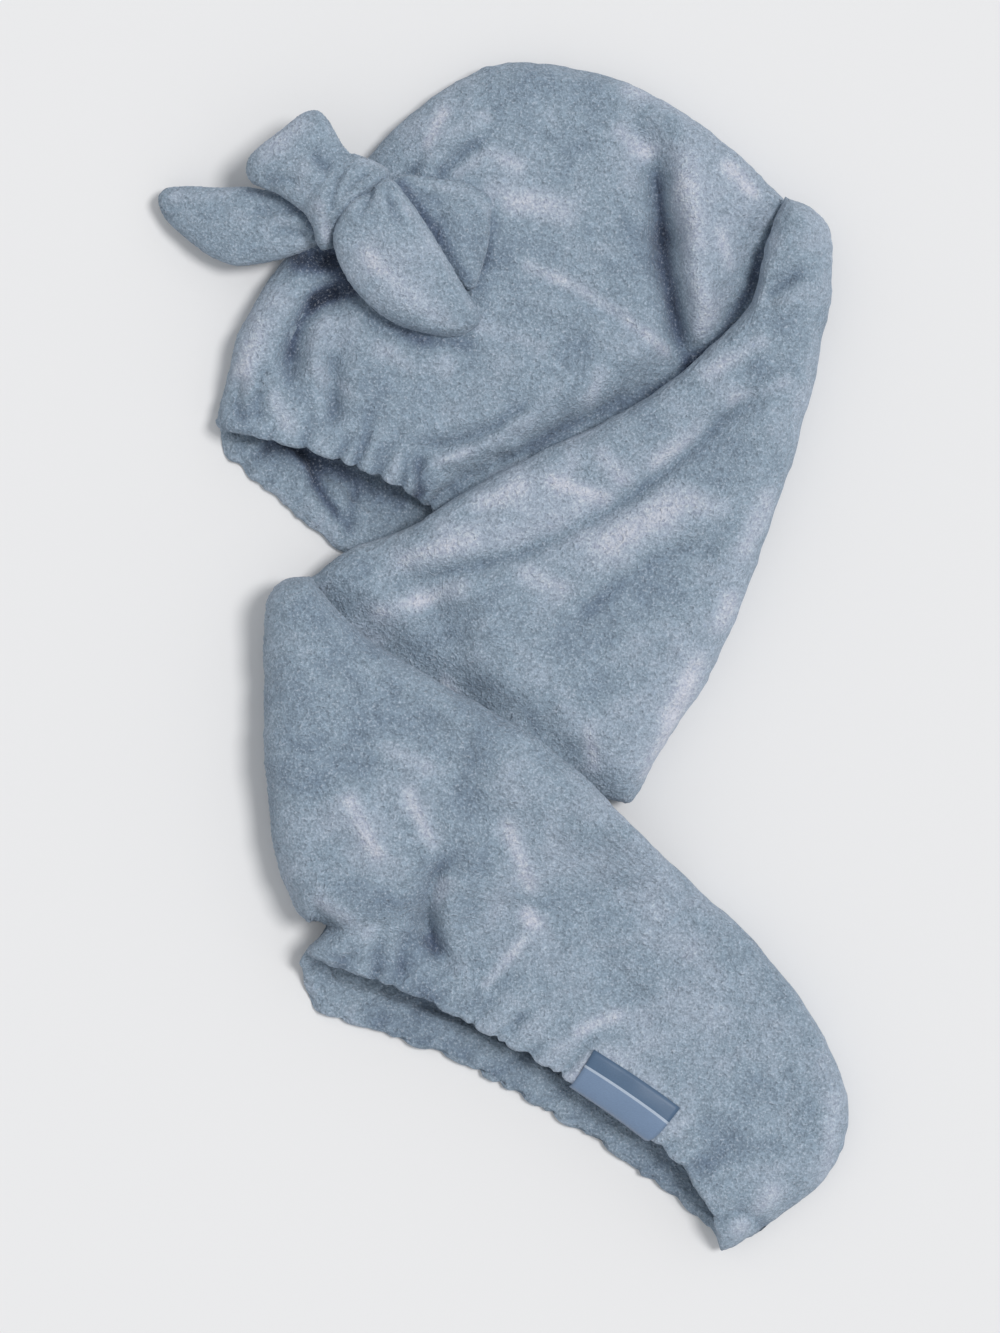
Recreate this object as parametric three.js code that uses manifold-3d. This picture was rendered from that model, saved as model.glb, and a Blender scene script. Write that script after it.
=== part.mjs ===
// A plush hair turban towel with a bow, lying folded on a flat surface.
// A flattened sleeve with a gathered mouth at each end runs up through the upper hood, turns over at
// its right fold, crosses the hood as a band, turns over again at its left fold and ends in the lower
// hood. Lengths are millimetres, +Z is up, and the origin is under the middle of the folded towel.

import * as THREE from 'three';
import { mergeVertices } from 'three/addons/utils/BufferGeometryUtils.js';
import Module from 'manifold-3d';

const wasm = await Module();
wasm.setup();

// The folded towel
const towelWidth = 360;
const towelLength = 616;

// Cloth and layers
const clothWall = 3.5;
const hoodLoft = 22;
const bandLoft = 20;
const pocketLoft = 22;
const pressedLoft = 15;
const layerGap = 1.5;
const edgeRound = 14;
const noseShare = 0.42;
const hoodPuff = 6;
const bandPuff = 3;
const pocketPuff = 7;
const pressReach = 22;
const drapeReach = 42;
const drapeMargin = 9;
const stackedPress = 0.7;
const foldDepth = 10;
const foldSpread = 10;
const nudgeShift = 12;
const nudgeSpread = 32;

// Gathered hems
const hemWidth = 22;
const hemWall = 6.5;
const gatherDepth = 1.3;
const gatherCount = 18;
const seamGap = 0.3;
const hoodLip = 46;
const pocketLip = 30;

// Bow
const bowLift = 17;
const bowRise = 25;
const knotWidth = 46;
const knotLength = 50;
const knotHeight = 38;
const tailHalfWidth = 21;
const tailHalfThickness = 9;
const bowGap = 0.4;

// Label
const labelLength = 50;
const labelPlace = 0.334;
const labelLean = 0.035; // along the mouth from its edge to the seam, as a share of the mouth
const labelCover = 0.96;
const labelTuck = 0.45;
const labelThickness = 0.8;
const labelGap = 0.5;

// Fineness of the mesh
const upperSteps = 22;
const lowerSteps = 14;
const hoodSections = 12;
const bandSections = 11;
const pocketSections = 12;
const turnSections = 4;

// Facets finer than this go where a solid is cut to the shape of its neighbours.
const cutDetail = 0.05;

// Every x below is a share of towelWidth from the left, and every y a share of towelLength from the
// bottom. A section runs across the flattened sleeve from edge a to edge b. bow is how far it curves
// forward in its middle, as a share of its length, and bowAt is where that is most.
const hoodRows = [
  { ax: 0.098, ay: 0.736, bx: 0.627, by: 0.436, bow: 0.2, bowAt: 0.52, lip: 1 },
  { ax: 0.118, ay: 0.776, bx: 0.634, by: 0.432, bow: 0.19, bowAt: 0.51, lip: 0.7 },
  { ax: 0.173, ay: 0.83, bx: 0.64, by: 0.428, bow: 0.17, bowAt: 0.5, lip: 0.35 },
  { ax: 0.27, ay: 0.901, bx: 0.646, by: 0.424, bow: 0.15, bowAt: 0.48, lip: 0.1 },
  { ax: 0.371, ay: 0.962, bx: 0.652, by: 0.419, bow: 0.13, bowAt: 0.46, lip: 0 },
  { ax: 0.488, ay: 1.001, bx: 0.658, by: 0.415, bow: 0.11, bowAt: 0.43, lip: 0 },
  { ax: 0.624, ay: 0.996, bx: 0.663, by: 0.411, bow: 0.1, bowAt: 0.4, lip: 0 },
  { ax: 0.743, ay: 0.965, bx: 0.668, by: 0.407, bow: 0.08, bowAt: 0.37, lip: 0 },
  { ax: 0.834, ay: 0.927, bx: 0.672, by: 0.402, bow: 0.07, bowAt: 0.35, lip: 0 },
];
const rightFold = { ax: 0.953, ay: 0.88, bx: 0.713, by: 0.372, bow: 0.064, bowAt: 0.33, lip: 0 };
const bandRows = [
  { ax: 0.876, ay: 0.844, bx: 0.624, by: 0.382, bow: 0.05, bowAt: 0.35, lip: 0 },
  { ax: 0.853, ay: 0.797, bx: 0.569, by: 0.371, bow: 0.03, bowAt: 0.4, lip: 0 },
  { ax: 0.783, ay: 0.754, bx: 0.512, by: 0.361, bow: 0.01, bowAt: 0.45, lip: 0 },
  { ax: 0.688, ay: 0.713, bx: 0.457, by: 0.351, bow: 0, bowAt: 0.5, lip: 0 },
  { ax: 0.581, ay: 0.68, bx: 0.403, by: 0.341, bow: 0, bowAt: 0.5, lip: 0 },
  { ax: 0.465, ay: 0.647, bx: 0.353, by: 0.331, bow: 0, bowAt: 0.5, lip: 0 },
  { ax: 0.364, ay: 0.61, bx: 0.309, by: 0.321, bow: -0.01, bowAt: 0.5, lip: 0 },
  { ax: 0.28, ay: 0.591, bx: 0.272, by: 0.307, bow: -0.02, bowAt: 0.5, lip: 0 },
];
const leftFold = { ax: 0.171, ay: 0.567, bx: 0.194, by: 0.285, bow: -0.025, bowAt: 0.5, lip: 0 };
const pocketRows = [
  { ax: 0.292, ay: 0.522, bx: 0.25, by: 0.289, bow: -0.02, bowAt: 0.5, lip: 0 },
  { ax: 0.408, ay: 0.479, bx: 0.254, by: 0.289, bow: -0.03, bowAt: 0.5, lip: 0 },
  { ax: 0.538, ay: 0.436, bx: 0.259, by: 0.29, bow: -0.03, bowAt: 0.48, lip: 0 },
  { ax: 0.653, ay: 0.382, bx: 0.263, by: 0.29, bow: -0.04, bowAt: 0.45, lip: 0 },
  { ax: 0.769, ay: 0.312, bx: 0.267, by: 0.29, bow: -0.05, bowAt: 0.42, lip: 0 },
  { ax: 0.877, ay: 0.249, bx: 0.27, by: 0.289, bow: -0.06, bowAt: 0.38, lip: 0 },
  { ax: 0.96, ay: 0.181, bx: 0.273, by: 0.289, bow: -0.07, bowAt: 0.35, lip: 0.05 },
  { ax: 0.997, ay: 0.114, bx: 0.276, by: 0.288, bow: -0.08, bowAt: 0.32, lip: 0.25 },
  { ax: 0.964, ay: 0.059, bx: 0.277, by: 0.287, bow: -0.09, bowAt: 0.3, lip: 0.6 },
  { ax: 0.873, ay: 0.022, bx: 0.279, by: 0.285, bow: -0.09, bowAt: 0.28, lip: 1 },
];

// The elastic draws each mouth in at its a and b ends, as shares of hemWidth.
const hoodDraw = { a: 0.64, b: 0.64 };
const pocketDraw = { a: 0.64, b: 0.1 };

// The lower cloth of each mouth reaches past the upper one: reach is a share of hoodLip or
// pocketLip, and across runs from edge a to edge b.
const hoodLipRows = [
  { across: 0, reach: 0 },
  { across: 0.06, reach: 0.36 },
  { across: 0.16, reach: 0.6 },
  { across: 0.28, reach: 0.85 },
  { across: 0.4, reach: 1 },
  { across: 0.6, reach: 0.85 },
  { across: 0.85, reach: 0.3 },
  { across: 1, reach: 0 },
];
const pocketLipRows = [
  { across: 0, reach: 0 },
  { across: 0.08, reach: 0.35 },
  { across: 0.2, reach: 0.62 },
  { across: 0.4, reach: 0.72 },
  { across: 0.65, reach: 0.72 },
  { across: 0.8, reach: 0.9 },
  { across: 0.93, reach: 1 },
  { across: 1, reach: 0.3 },
];

// Folds and ridges in the upper face of a layer: from x1, y1 to x2, y2. rise is at the middle line, as
// a share of foldDepth, negative in a valley. spread is to each side, as a share of foldSpread.
const foldRows = [
  { layer: 'hood', x1: 0.704, y1: 0.934, x2: 0.731, y2: 0.852, rise: -0.7, spread: 0.9 },
  { layer: 'hood', x1: 0.731, y1: 0.852, x2: 0.764, y2: 0.743, rise: -0.8, spread: 1 },
  { layer: 'hood', x1: 0.76, y1: 0.945, x2: 0.8, y2: 0.768, rise: 0.4, spread: 1.2 },
  { layer: 'hood', x1: 0.237, y1: 0.81, x2: 0.199, y2: 0.751, rise: -0.5, spread: 0.7 },
  { layer: 'hood', x1: 0.256, y1: 0.8, x2: 0.256, y2: 0.717, rise: -0.5, spread: 0.7 },
  { layer: 'hood', x1: 0.383, y1: 0.673, x2: 0.581, y2: 0.698, rise: -0.4, spread: 0.7 },
  { layer: 'hood', x1: 0.447, y1: 0.645, x2: 0.581, y2: 0.689, rise: -0.4, spread: 0.6 },
  { layer: 'band', x1: 0.847, y1: 0.714, x2: 0.639, y2: 0.624, rise: -0.4, spread: 0.8 },
  { layer: 'band', x1: 0.639, y1: 0.624, x2: 0.405, y2: 0.572, rise: -0.3, spread: 0.8 },
  { layer: 'pocket', x1: 0.418, y1: 0.332, x2: 0.39, y2: 0.283, rise: -0.5, spread: 0.8 },
  { layer: 'pocket', x1: 0.39, y1: 0.283, x2: 0.412, y2: 0.241, rise: -0.5, spread: 0.7 },
  { layer: 'pocket', x1: 0.273, y1: 0.377, x2: 0.328, y2: 0.342, rise: 0.3, spread: 0.9 },
  { layer: 'pocket', x1: 0.639, y1: 0.245, x2: 0.697, y2: 0.203, rise: -0.3, spread: 0.9 },
  { layer: 'pocket', x1: 0.848, y1: 0.038, x2: 0.887, y2: 0.024, rise: -0.3, spread: 0.6 },
];

// Where the lying cloth is pushed aside a little. right and up are shares of nudgeShift.
const nudgeRows = [
  { x: 0.25, y: 0.24, right: -1, up: 0 },
  { x: 0.81, y: 0.01, right: 0, up: -0.58 },
  { x: 0.76, y: 0.407, right: -1, up: 0 },
];

// Each row is a point along the bow end's middle line, from the knot outward. lift is its middle's
// height over bowLift as a share of bowRise, wide is a share of tailHalfWidth and thick one of
// tailHalfThickness.
const bowRows = {
  bow_left_tail: [
    { x: 0.235, y: 0.862, lift: 0.16, wide: 0.6, thick: 0.7 },
    { x: 0.176, y: 0.858, lift: 0.08, wide: 0.9, thick: 1 },
    { x: 0.118, y: 0.86, lift: -0.04, wide: 1, thick: 1 },
    { x: 0.061, y: 0.868, lift: -0.2, wide: 0.85, thick: 0.9 },
    { x: 0.02, y: 0.885, lift: -0.28, wide: 0.45, thick: 0.7 },
    { x: 0.001, y: 0.894, lift: -0.32, wide: 0.1, thick: 0.35 },
  ],
  bow_upper_loop: [
    { x: 0.256, y: 0.893, lift: 0.68, wide: 0.65, thick: 0.8 },
    { x: 0.217, y: 0.912, lift: 0.68, wide: 1, thick: 1.3 },
    { x: 0.18, y: 0.927, lift: 0.56, wide: 1.2, thick: 1.4 },
    { x: 0.158, y: 0.933, lift: 0.48, wide: 1.1, thick: 1.1 },
    { x: 0.146, y: 0.937, lift: 0.44, wide: 0.7, thick: 0.5 },
  ],
  bow_front_tail: [
    { x: 0.285, y: 0.882, lift: 0.96, wide: 0.6, thick: 0.7 },
    { x: 0.328, y: 0.85, lift: 1, wide: 1.05, thick: 1.1 },
    { x: 0.365, y: 0.825, lift: 0.88, wide: 1.15, thick: 1.1 },
    { x: 0.407, y: 0.799, lift: 0.68, wide: 0.9, thick: 0.9 },
    { x: 0.445, y: 0.779, lift: 0.56, wide: 0.45, thick: 0.6 },
    { x: 0.46, y: 0.772, lift: 0.52, wide: 0.12, thick: 0.25 },
  ],
  bow_back_tail: [
    { x: 0.3, y: 0.89, lift: 0.8, wide: 0.6, thick: 0.7 },
    { x: 0.35, y: 0.88, lift: 0.68, wide: 0.95, thick: 0.9 },
    { x: 0.41, y: 0.869, lift: 0.52, wide: 1.1, thick: 0.9 },
    { x: 0.457, y: 0.858, lift: 0.48, wide: 1.1, thick: 0.8 },
    { x: 0.48, y: 0.852, lift: 0.48, wide: 0.7, thick: 0.35 },
  ],
};
const knotPlace = { x: 0.262, y: 0.884, lift: 0.4 };

function smoothstep(x) {
  const t = Math.min(1, Math.max(0, x));
  return t * t * (3 - 2 * t);
}

function mix(from, to, share) {
  return from + (to - from) * share;
}

function place(xShare, yShare) {
  return new THREE.Vector2((xShare - 0.5) * towelWidth, (yShare - 0.5) * towelLength);
}

function quarterTurn(direction) {
  return new THREE.Vector2(-direction.y, direction.x);
}

// A section of the sleeve in plan
function sectionFrom(row) {
  return {
    a: place(row.ax, row.ay),
    b: place(row.bx, row.by),
    bow: row.bow,
    bowAt: row.bowAt,
    lip: row.lip,
  };
}

function sectionBetween(from, to, share) {
  return {
    a: from.a.clone().lerp(to.a, share),
    b: from.b.clone().lerp(to.b, share),
    bow: mix(from.bow, to.bow, share),
    bowAt: mix(from.bowAt, to.bowAt, share),
    lip: mix(from.lip, to.lip, share),
  };
}

function acrossAndForward(section) {
  const across = section.b.clone().sub(section.a);
  const length = across.length();
  across.divideScalar(length);
  return { across, forward: quarterTurn(across), length };
}

// The plan point at a distance along a section, measured from its edge a
function sectionPoint(section, along) {
  const { across, forward, length } = acrossAndForward(section);
  const share = Math.min(1, Math.max(0, along / length));
  const skewed = share ** (Math.log(0.5) / Math.log(section.bowAt));
  const curve = section.bow * length * Math.sin(Math.PI * skewed);
  return section.a.clone().addScaledVector(across, along).addScaledVector(forward, curve);
}

function moved(section, distance) {
  const { forward } = acrossAndForward(section);
  return {
    ...section,
    a: section.a.clone().addScaledVector(forward, distance),
    b: section.b.clone().addScaledVector(forward, distance),
  };
}

// Smooth sections through a list of chosen ones
function resample(sections, count) {
  const read = (section) => [
    section.a.x, section.a.y, section.b.x, section.b.y, section.bow, section.bowAt, section.lip,
  ];
  const values = sections.map(read);
  const valueAt = (t, k) => {
    const i = Math.min(sections.length - 2, Math.floor(t));
    const f = t - i;
    const p1 = values[i][k];
    const p2 = values[i + 1][k];
    const p0 = i > 0 ? values[i - 1][k] : 2 * p1 - p2;
    const p3 = i + 2 < sections.length ? values[i + 2][k] : 2 * p2 - p1;
    const slopeIn = (p2 - p0) / 2;
    const slopeOut = (p3 - p1) / 2;
    return (
      (2 * f ** 3 - 3 * f ** 2 + 1) * p1 +
      (f ** 3 - 2 * f ** 2 + f) * slopeIn +
      (3 * f ** 2 - 2 * f ** 3) * p2 +
      (f ** 3 - f ** 2) * slopeOut
    );
  };
  return Array.from({ length: count }, (_, n) => {
    const t = (n / (count - 1)) * (sections.length - 1);
    const [ax, ay, bx, by, bow, bowAt, lip] = values[0].map((_, k) => valueAt(t, k));
    return { a: new THREE.Vector2(ax, ay), b: new THREE.Vector2(bx, by), bow, bowAt, lip };
  });
}

function tableValue(rows, key, value, at) {
  let i = 0;
  while (i < rows.length - 2 && rows[i + 1][key] < at) {
    i += 1;
  }
  const share = (at - rows[i][key]) / (rows[i + 1][key] - rows[i][key]);
  return mix(rows[i][value], rows[i + 1][value], smoothstep(share) * 0.5 + share * 0.5);
}

// Turning the sleeve over takes this much room beside the fold.
const foldRadius = (pressedLoft + layerGap + noseShare * (bandLoft - pressedLoft)) / 2;
const foldReach = foldRadius + (noseShare * pressedLoft + (1 - noseShare) * bandLoft) / 2;

const rightTurn = moved(sectionFrom(rightFold), -foldReach);
const leftTurn = moved(sectionFrom(leftFold), foldReach);
const hoodSeam = sectionFrom(hoodRows[0]);
const pocketSeam = sectionFrom(pocketRows.at(-1));

function mouthEdge(seam, outward, draw) {
  const edge = moved(seam, outward * hemWidth);
  const { across } = acrossAndForward(seam);
  edge.a.addScaledVector(across, draw.a * hemWidth);
  edge.b.addScaledVector(across, -draw.b * hemWidth);
  return edge;
}

const hoodMouth = mouthEdge(hoodSeam, -1, hoodDraw);
const pocketMouth = mouthEdge(pocketSeam, 1, pocketDraw);
const hoodRun = resample([...hoodRows.map(sectionFrom), rightTurn], hoodSections);
const bandRun = resample([rightTurn, ...bandRows.map(sectionFrom), leftTurn], bandSections);
const pocketRun = resample([leftTurn, ...pocketRows.map(sectionFrom)], pocketSections);

// Outlines in plan, as closed lists of points
function alongSection(section, reversed) {
  const { length } = acrossAndForward(section);
  const points = Array.from({ length: 9 }, (_, i) => sectionPoint(section, (length * i) / 8));
  return reversed ? points.reverse() : points;
}

function outlineOf(first, run, last) {
  return [
    ...alongSection(first, true),
    ...run.map((section) => section.a),
    ...alongSection(last, false),
    ...run.map((section) => section.b).reverse(),
  ];
}

function lipPoint(section, point, across, outward, lipRows, lipLength) {
  const { forward } = acrossAndForward(section);
  const reach = section.lip * lipLength * tableValue(lipRows, 'across', 'reach', across);
  return point.clone().addScaledVector(forward, outward * reach);
}

const hoodOutline = outlineOf(hoodMouth, hoodRun.slice(0, -1), sectionFrom(rightFold));
const bandOutline = outlineOf(sectionFrom(rightFold), bandRun.slice(1, -1), sectionFrom(leftFold));
const hoodLipOutline = [
  ...alongSection(hoodMouth, true),
  ...Array.from({ length: 13 }, (_, i) => {
    const { length } = acrossAndForward(hoodMouth);
    const point = sectionPoint(hoodMouth, (length * i) / 12);
    return lipPoint(hoodMouth, point, i / 12, -1, hoodLipRows, hoodLip);
  }),
];

// How far a point lies outside an outline, negative inside it
function distanceOutside(outline, x, y) {
  let nearest = Infinity;
  let inside = false;
  outline.forEach((p, i) => {
    const q = outline[(i + 1) % outline.length];
    const ex = q.x - p.x;
    const ey = q.y - p.y;
    const lengthSquared = ex * ex + ey * ey || 1;
    const t = Math.min(1, Math.max(0, ((x - p.x) * ex + (y - p.y) * ey) / lengthSquared));
    nearest = Math.min(nearest, Math.hypot(x - p.x - t * ex, y - p.y - t * ey));
    if (p.y > y !== q.y > y && x < p.x + ((y - p.y) / (q.y - p.y)) * ex) {
      inside = !inside;
    }
  });
  return inside ? -nearest : nearest;
}

// 1 over an outline and margin round it, and down to 0 at reach outside that
function cover(outline, margin, reach, x, y) {
  return 1 - smoothstep((distanceOutside(outline, x, y) - margin) / reach);
}

const pocketOutline = outlineOf(sectionFrom(leftFold), pocketRun.slice(1), pocketMouth);

// 1 where all three layers lie on each other, and down to 0 away from there
function stacked(x, y) {
  return cover(hoodOutline, 0, drapeReach, x, y);
}

// The three layers. base is the height of a layer's lower face, and loft its thickness.
const layers = {
  hood: {
    upperIsP: true,
    base: () => 0,
    loft: (x, y) => mix(hoodLoft, pressedLoft, cover(bandOutline, 0, pressReach, x, y)),
    relief: (x, y) => (1 - cover(bandOutline, 0, pressReach, x, y)) * (hoodPuff + folds('hood', x, y)),
  },
  band: {
    upperIsP: false,
    base: (x, y) =>
      Math.max(
        (pressedLoft + layerGap) * cover(hoodOutline, drapeMargin, drapeReach, x, y),
        (hemWall + layerGap) * cover(hoodLipOutline, drapeMargin, drapeReach, x, y),
      ),
    loft: (x, y) => mix(bandLoft, pressedLoft, cover(pocketOutline, 0, pressReach, x, y)),
    relief: (x, y) =>
      (1 - cover(pocketOutline, 0, pressReach, x, y)) * (bandPuff + folds('band', x, y)),
  },
  pocket: {
    upperIsP: true,
    base: (x, y) =>
      (layers.band.base(x, y) + pressedLoft + layerGap) * cover(bandOutline, drapeMargin, drapeReach, x, y),
    loft: (x, y) => mix(pocketLoft, pressedLoft, stacked(x, y)),
    relief: (x, y) => (1 - stackedPress * stacked(x, y)) * (pocketPuff + folds('pocket', x, y)),
  },
};

function folds(layer, x, y) {
  return foldRows
    .filter((row) => row.layer === layer)
    .reduce((sum, row) => {
      const from = place(row.x1, row.y1);
      const line = place(row.x2, row.y2).sub(from);
      const t = ((x - from.x) * line.x + (y - from.y) * line.y) / line.lengthSq();
      const near = Math.min(1, Math.max(0, t));
      const away = Math.hypot(x - from.x - near * line.x, y - from.y - near * line.y);
      return sum + foldDepth * row.rise * Math.exp(-((away / (foldSpread * row.spread)) ** 2));
    }, 0);
}

// The round edge of a flattened layer: 0 at the edge, 1 from edgeRound inward
function edgeRise(fromEdge, radius) {
  const t = 1 - Math.min(1, Math.max(0, fromEdge / radius));
  return Math.sqrt(1 - t * t);
}

// A point of a layer's face, at depth below its outer face. side is 'P' or 'Q', the two cloths of the
// flattened sleeve.
function layerPoint(layer, section, side, across, depth, lip) {
  const { length } = acrossAndForward(section);
  const inner = length - 2 * depth;
  let plan = sectionPoint(section, depth + across * inner);
  if (lip && side === 'Q') {
    plan = lipPoint(section, plan, across, lip.outward, lip.rows, lip.length);
  }
  const isUpper = (side === 'P') === layer.upperIsP;
  const loft = layer.loft(plan.x, plan.y);
  const fromEdge = Math.min(across, 1 - across) * inner;
  const rise = edgeRise(fromEdge, edgeRound - depth);
  const middle = layer.base(plan.x, plan.y) + noseShare * loft;
  const z = isUpper
    ? middle +
      ((1 - noseShare) * loft - depth) * rise +
      layer.relief(plan.x, plan.y) * edgeRise(fromEdge, 3 * edgeRound) * rise
    : middle - (noseShare * loft - depth) * rise;
  return nudged(new THREE.Vector3(plan.x, plan.y, z));
}

// A point where the sleeve turns over beside a fold. angle runs from -90 degrees on the lower layer
// to 90 degrees on the upper one.
function turnPoint(lower, upper, section, outward, side, across, depth, angle) {
  const plan = sectionPoint(section, depth + across * (acrossAndForward(section).length - 2 * depth));
  const { forward } = acrossAndForward(section);
  const from = layerPoint(lower, section, side, across, depth).z;
  const to = layerPoint(upper, section, side, across, depth).z;
  const lowerLoft = lower.loft(plan.x, plan.y);
  const upperLoft = upper.loft(plan.x, plan.y);
  const lowMiddle = lower.base(plan.x, plan.y) + noseShare * lowerLoft;
  const highMiddle = upper.base(plan.x, plan.y) + noseShare * upperLoft;
  const centre = (lowMiddle + highMiddle) / 2;
  const radius = mix(centre - from, to - centre, (1 + Math.sin(angle)) / 2);
  return nudged(new THREE.Vector3(
    plan.x + forward.x * outward * radius * Math.cos(angle),
    plan.y + forward.y * outward * radius * Math.cos(angle),
    centre + radius * Math.sin(angle),
  ));
}

// Places across a section, closer together near its two edges
function acrossSteps(count) {
  const edgeWeight = 0.4;
  return Array.from({ length: count + 1 }, (_, i) => {
    const even = i / count;
    return mix(even, (1 - Math.cos(Math.PI * even)) / 2, edgeWeight);
  });
}

// Small shifts of the cloth in plan, to the right and up, that fade out over nudgeSpread.
function nudged(point) {
  nudgeRows.forEach((row) => {
    const centre = place(row.x, row.y);
    const away = Math.hypot(point.x - centre.x, point.y - centre.y);
    const shift = nudgeShift * Math.exp(-((away / nudgeSpread) ** 2));
    point.x += row.right * shift;
    point.y += row.up * shift;
  });
  return point;
}

// Once round a section: over P from edge a to edge b, then back over Q
function loopSteps(countP, countQ) {
  const overP = acrossSteps(countP).map((across) => ({ side: 'P', across }));
  const backOverQ = acrossSteps(countQ)
    .map((across) => ({ side: 'Q', across }))
    .reverse()
    .slice(1, -1);
  return [...overP, ...backOverQ];
}

const hoodLipShape = { outward: -1, rows: hoodLipRows, length: hoodLip };
const pocketLipShape = { outward: 1, rows: pocketLipRows, length: pocketLip };
const turnAngles = Array.from(
  { length: turnSections },
  (_, i) => Math.PI * ((i + 1) / (turnSections + 1) - 0.5),
);

// The sleeve's three lengths, section by section, each as a function of side, across and depth. The
// crossing band has both turns.
function stationsOf(layer, sections, lip) {
  return sections.map((section) => (side, across, depth) =>
    layerPoint(layer, section, side, across, depth, lip));
}

const upperHoodStations = stationsOf(layers.hood, hoodRun, hoodLipShape);
const bandStations = [
  ...stationsOf(layers.hood, [moved(rightTurn, seamGap)]),
  ...turnAngles.map((angle) => (side, across, depth) =>
    turnPoint(layers.hood, layers.band, rightTurn, 1, side, across, depth, angle)),
  ...stationsOf(layers.band, bandRun),
  ...turnAngles.map((angle) => (side, across, depth) =>
    turnPoint(layers.band, layers.pocket, leftTurn, -1, side, across, depth, angle)),
  ...stationsOf(layers.pocket, [leftTurn]),
];
const lowerHoodStations = stationsOf(
  layers.pocket, [moved(leftTurn, seamGap), ...pocketRun.slice(1)], pocketLipShape,
);

// A closed mesh from loops of points. Each loop is joined to the next. At the ends, 'ring' joins the
// last loop to the first, 'fan' caps each with a fan from its middle, and 'strip' caps each with a
// strip between the loop's first half and its second.
function meshFromLoops(loops, ends) {
  const count = loops[0].length;
  const positions = loops.flat();
  const faces = [];
  const last = ends === 'ring' ? loops.length : loops.length - 1;
  for (let i = 0; i < last; i += 1) {
    const next = (i + 1) % loops.length;
    for (let j = 0; j < count; j += 1) {
      const k = (j + 1) % count;
      faces.push([i * count + j, next * count + j, next * count + k]);
      faces.push([i * count + j, next * count + k, i * count + k]);
    }
  }
  if (ends === 'strip') {
    [0, loops.length - 1].forEach((i) => {
      for (let j = 0; j < count / 2 - 1; j += 1) {
        const [p, q, r, t] = [j, j + 1, count - 2 - j, count - 1 - j].map((k) => i * count + k);
        const pair = [[p, q, r], [p, r, t]];
        faces.push(...(i === 0 ? pair : pair.map((face) => face.reverse())));
      }
    });
  }
  if (ends === 'fan') {
    [0, loops.length - 1].forEach((i) => {
      const centre = loops[i]
        .reduce((sum, point) => sum.add(point), new THREE.Vector3())
        .divideScalar(count);
      positions.push(centre);
      for (let j = 0; j < count; j += 1) {
        const k = (j + 1) % count;
        const face = [positions.length - 1, i * count + j, i * count + k];
        faces.push(i === 0 ? face : face.reverse());
      }
    });
  }
  return geometryFrom(positions, faces);
}

function geometryFrom(positions, faces) {
  const volume = faces.reduce((sum, [i, j, k]) => {
    const cross = positions[j].clone().cross(positions[k]);
    return sum + positions[i].dot(cross);
  }, 0);
  const outward = volume > 0 ? faces : faces.map((face) => [...face].reverse());
  const geometry = new THREE.BufferGeometry();
  const coordinates = positions.flatMap((point) => [point.x, point.y, point.z]);
  geometry.setAttribute('position', new THREE.Float32BufferAttribute(coordinates, 3));
  geometry.setIndex(outward.flat());
  return geometry;
}

function solidFrom(geometry) {
  const merged = mergeVertices(geometry, 1e-3);
  return new wasm.Manifold(
    new wasm.Mesh({
      numProp: 3,
      vertProperties: new Float32Array(merged.attributes.position.array),
      triVerts: new Uint32Array(merged.index.array),
    }),
  );
}

function geometryOf(solid) {
  const mesh = solid.getMesh();
  const geometry = new THREE.BufferGeometry();
  const coordinates = new Float32Array(mesh.vertProperties);
  geometry.setAttribute('position', new THREE.Float32BufferAttribute(coordinates, 3));
  geometry.setIndex(Array.from(mesh.triVerts));
  return geometry;
}

// A length of the sleeve, its wall grown on both faces: its outer face from end to end, then its inner
// face back
function sleeveGeometry(stations, grow = 0) {
  const steps = loopSteps(upperSteps, lowerSteps);
  const faceLoops = (depth) =>
    stations.map((station) => steps.map(({ side, across }) => station(side, across, depth)));
  return meshFromLoops([...faceLoops(-grow), ...faceLoops(clothWall + grow).reverse()], 'ring');
}

// The band is shaped to the hoods and lies seamGap from them.
function bandSolid() {
  const upperEnd = stationsOf(layers.hood, [moved(rightTurn, seamGap)]);
  const lowerEnd = stationsOf(layers.pocket, [leftTurn]);
  const upperRoom = solidFrom(sleeveGeometry([...upperHoodStations, ...upperEnd], seamGap));
  const lowerRoom = solidFrom(sleeveGeometry([...lowerEnd, ...lowerHoodStations], seamGap));
  const whole = solidFrom(sleeveGeometry(bandStations));
  return trimmed(whole.subtract(upperRoom).subtract(lowerRoom), 2 * cutDetail);
}

// The section of a hem: from is its place between the mouth's edge, 0, and the seam, 1, and depth is
// a share of hemWall.
const hemProfile = [
  { from: 0, depth: 0.5 },
  { from: 0.09, depth: 0.12 },
  { from: 0.42, depth: 0 },
  { from: 0.8, depth: 0.02 },
  { from: 1 - seamGap / hemWidth, depth: 0.1 },
  { from: 1 - seamGap / hemWidth, depth: 0.6 },
  { from: 0.62, depth: 0.95 },
  { from: 0.1, depth: 0.88 },
];

function hemPoint(layer, mouth, seam, lip, side, across, from, depth) {
  return layerPoint(layer, sectionBetween(mouth, seam, from), side, across, depth, lip);
}

// Each step and the one halfway to the next, so that a hem has twice the sleeve's points round it
function withHalfSteps(steps) {
  return steps.flatMap((step, i) => {
    const next = steps[(i + 1) % steps.length];
    const side = step.side === next.side ? step.side : 'Q';
    return [step, { side, across: (step.across + next.across) / 2 }];
  });
}

// At the seam each halfway point lies on the straight line between its neighbours, as the sleeve's
// own edge does there.
function straightened(loop) {
  return loop.map((point, i) => {
    const isHalfway = i % 2 === 1;
    const next = loop[(i + 1) % loop.length];
    return isHalfway ? loop[i - 1].clone().lerp(next, 0.5) : point;
  });
}

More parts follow.
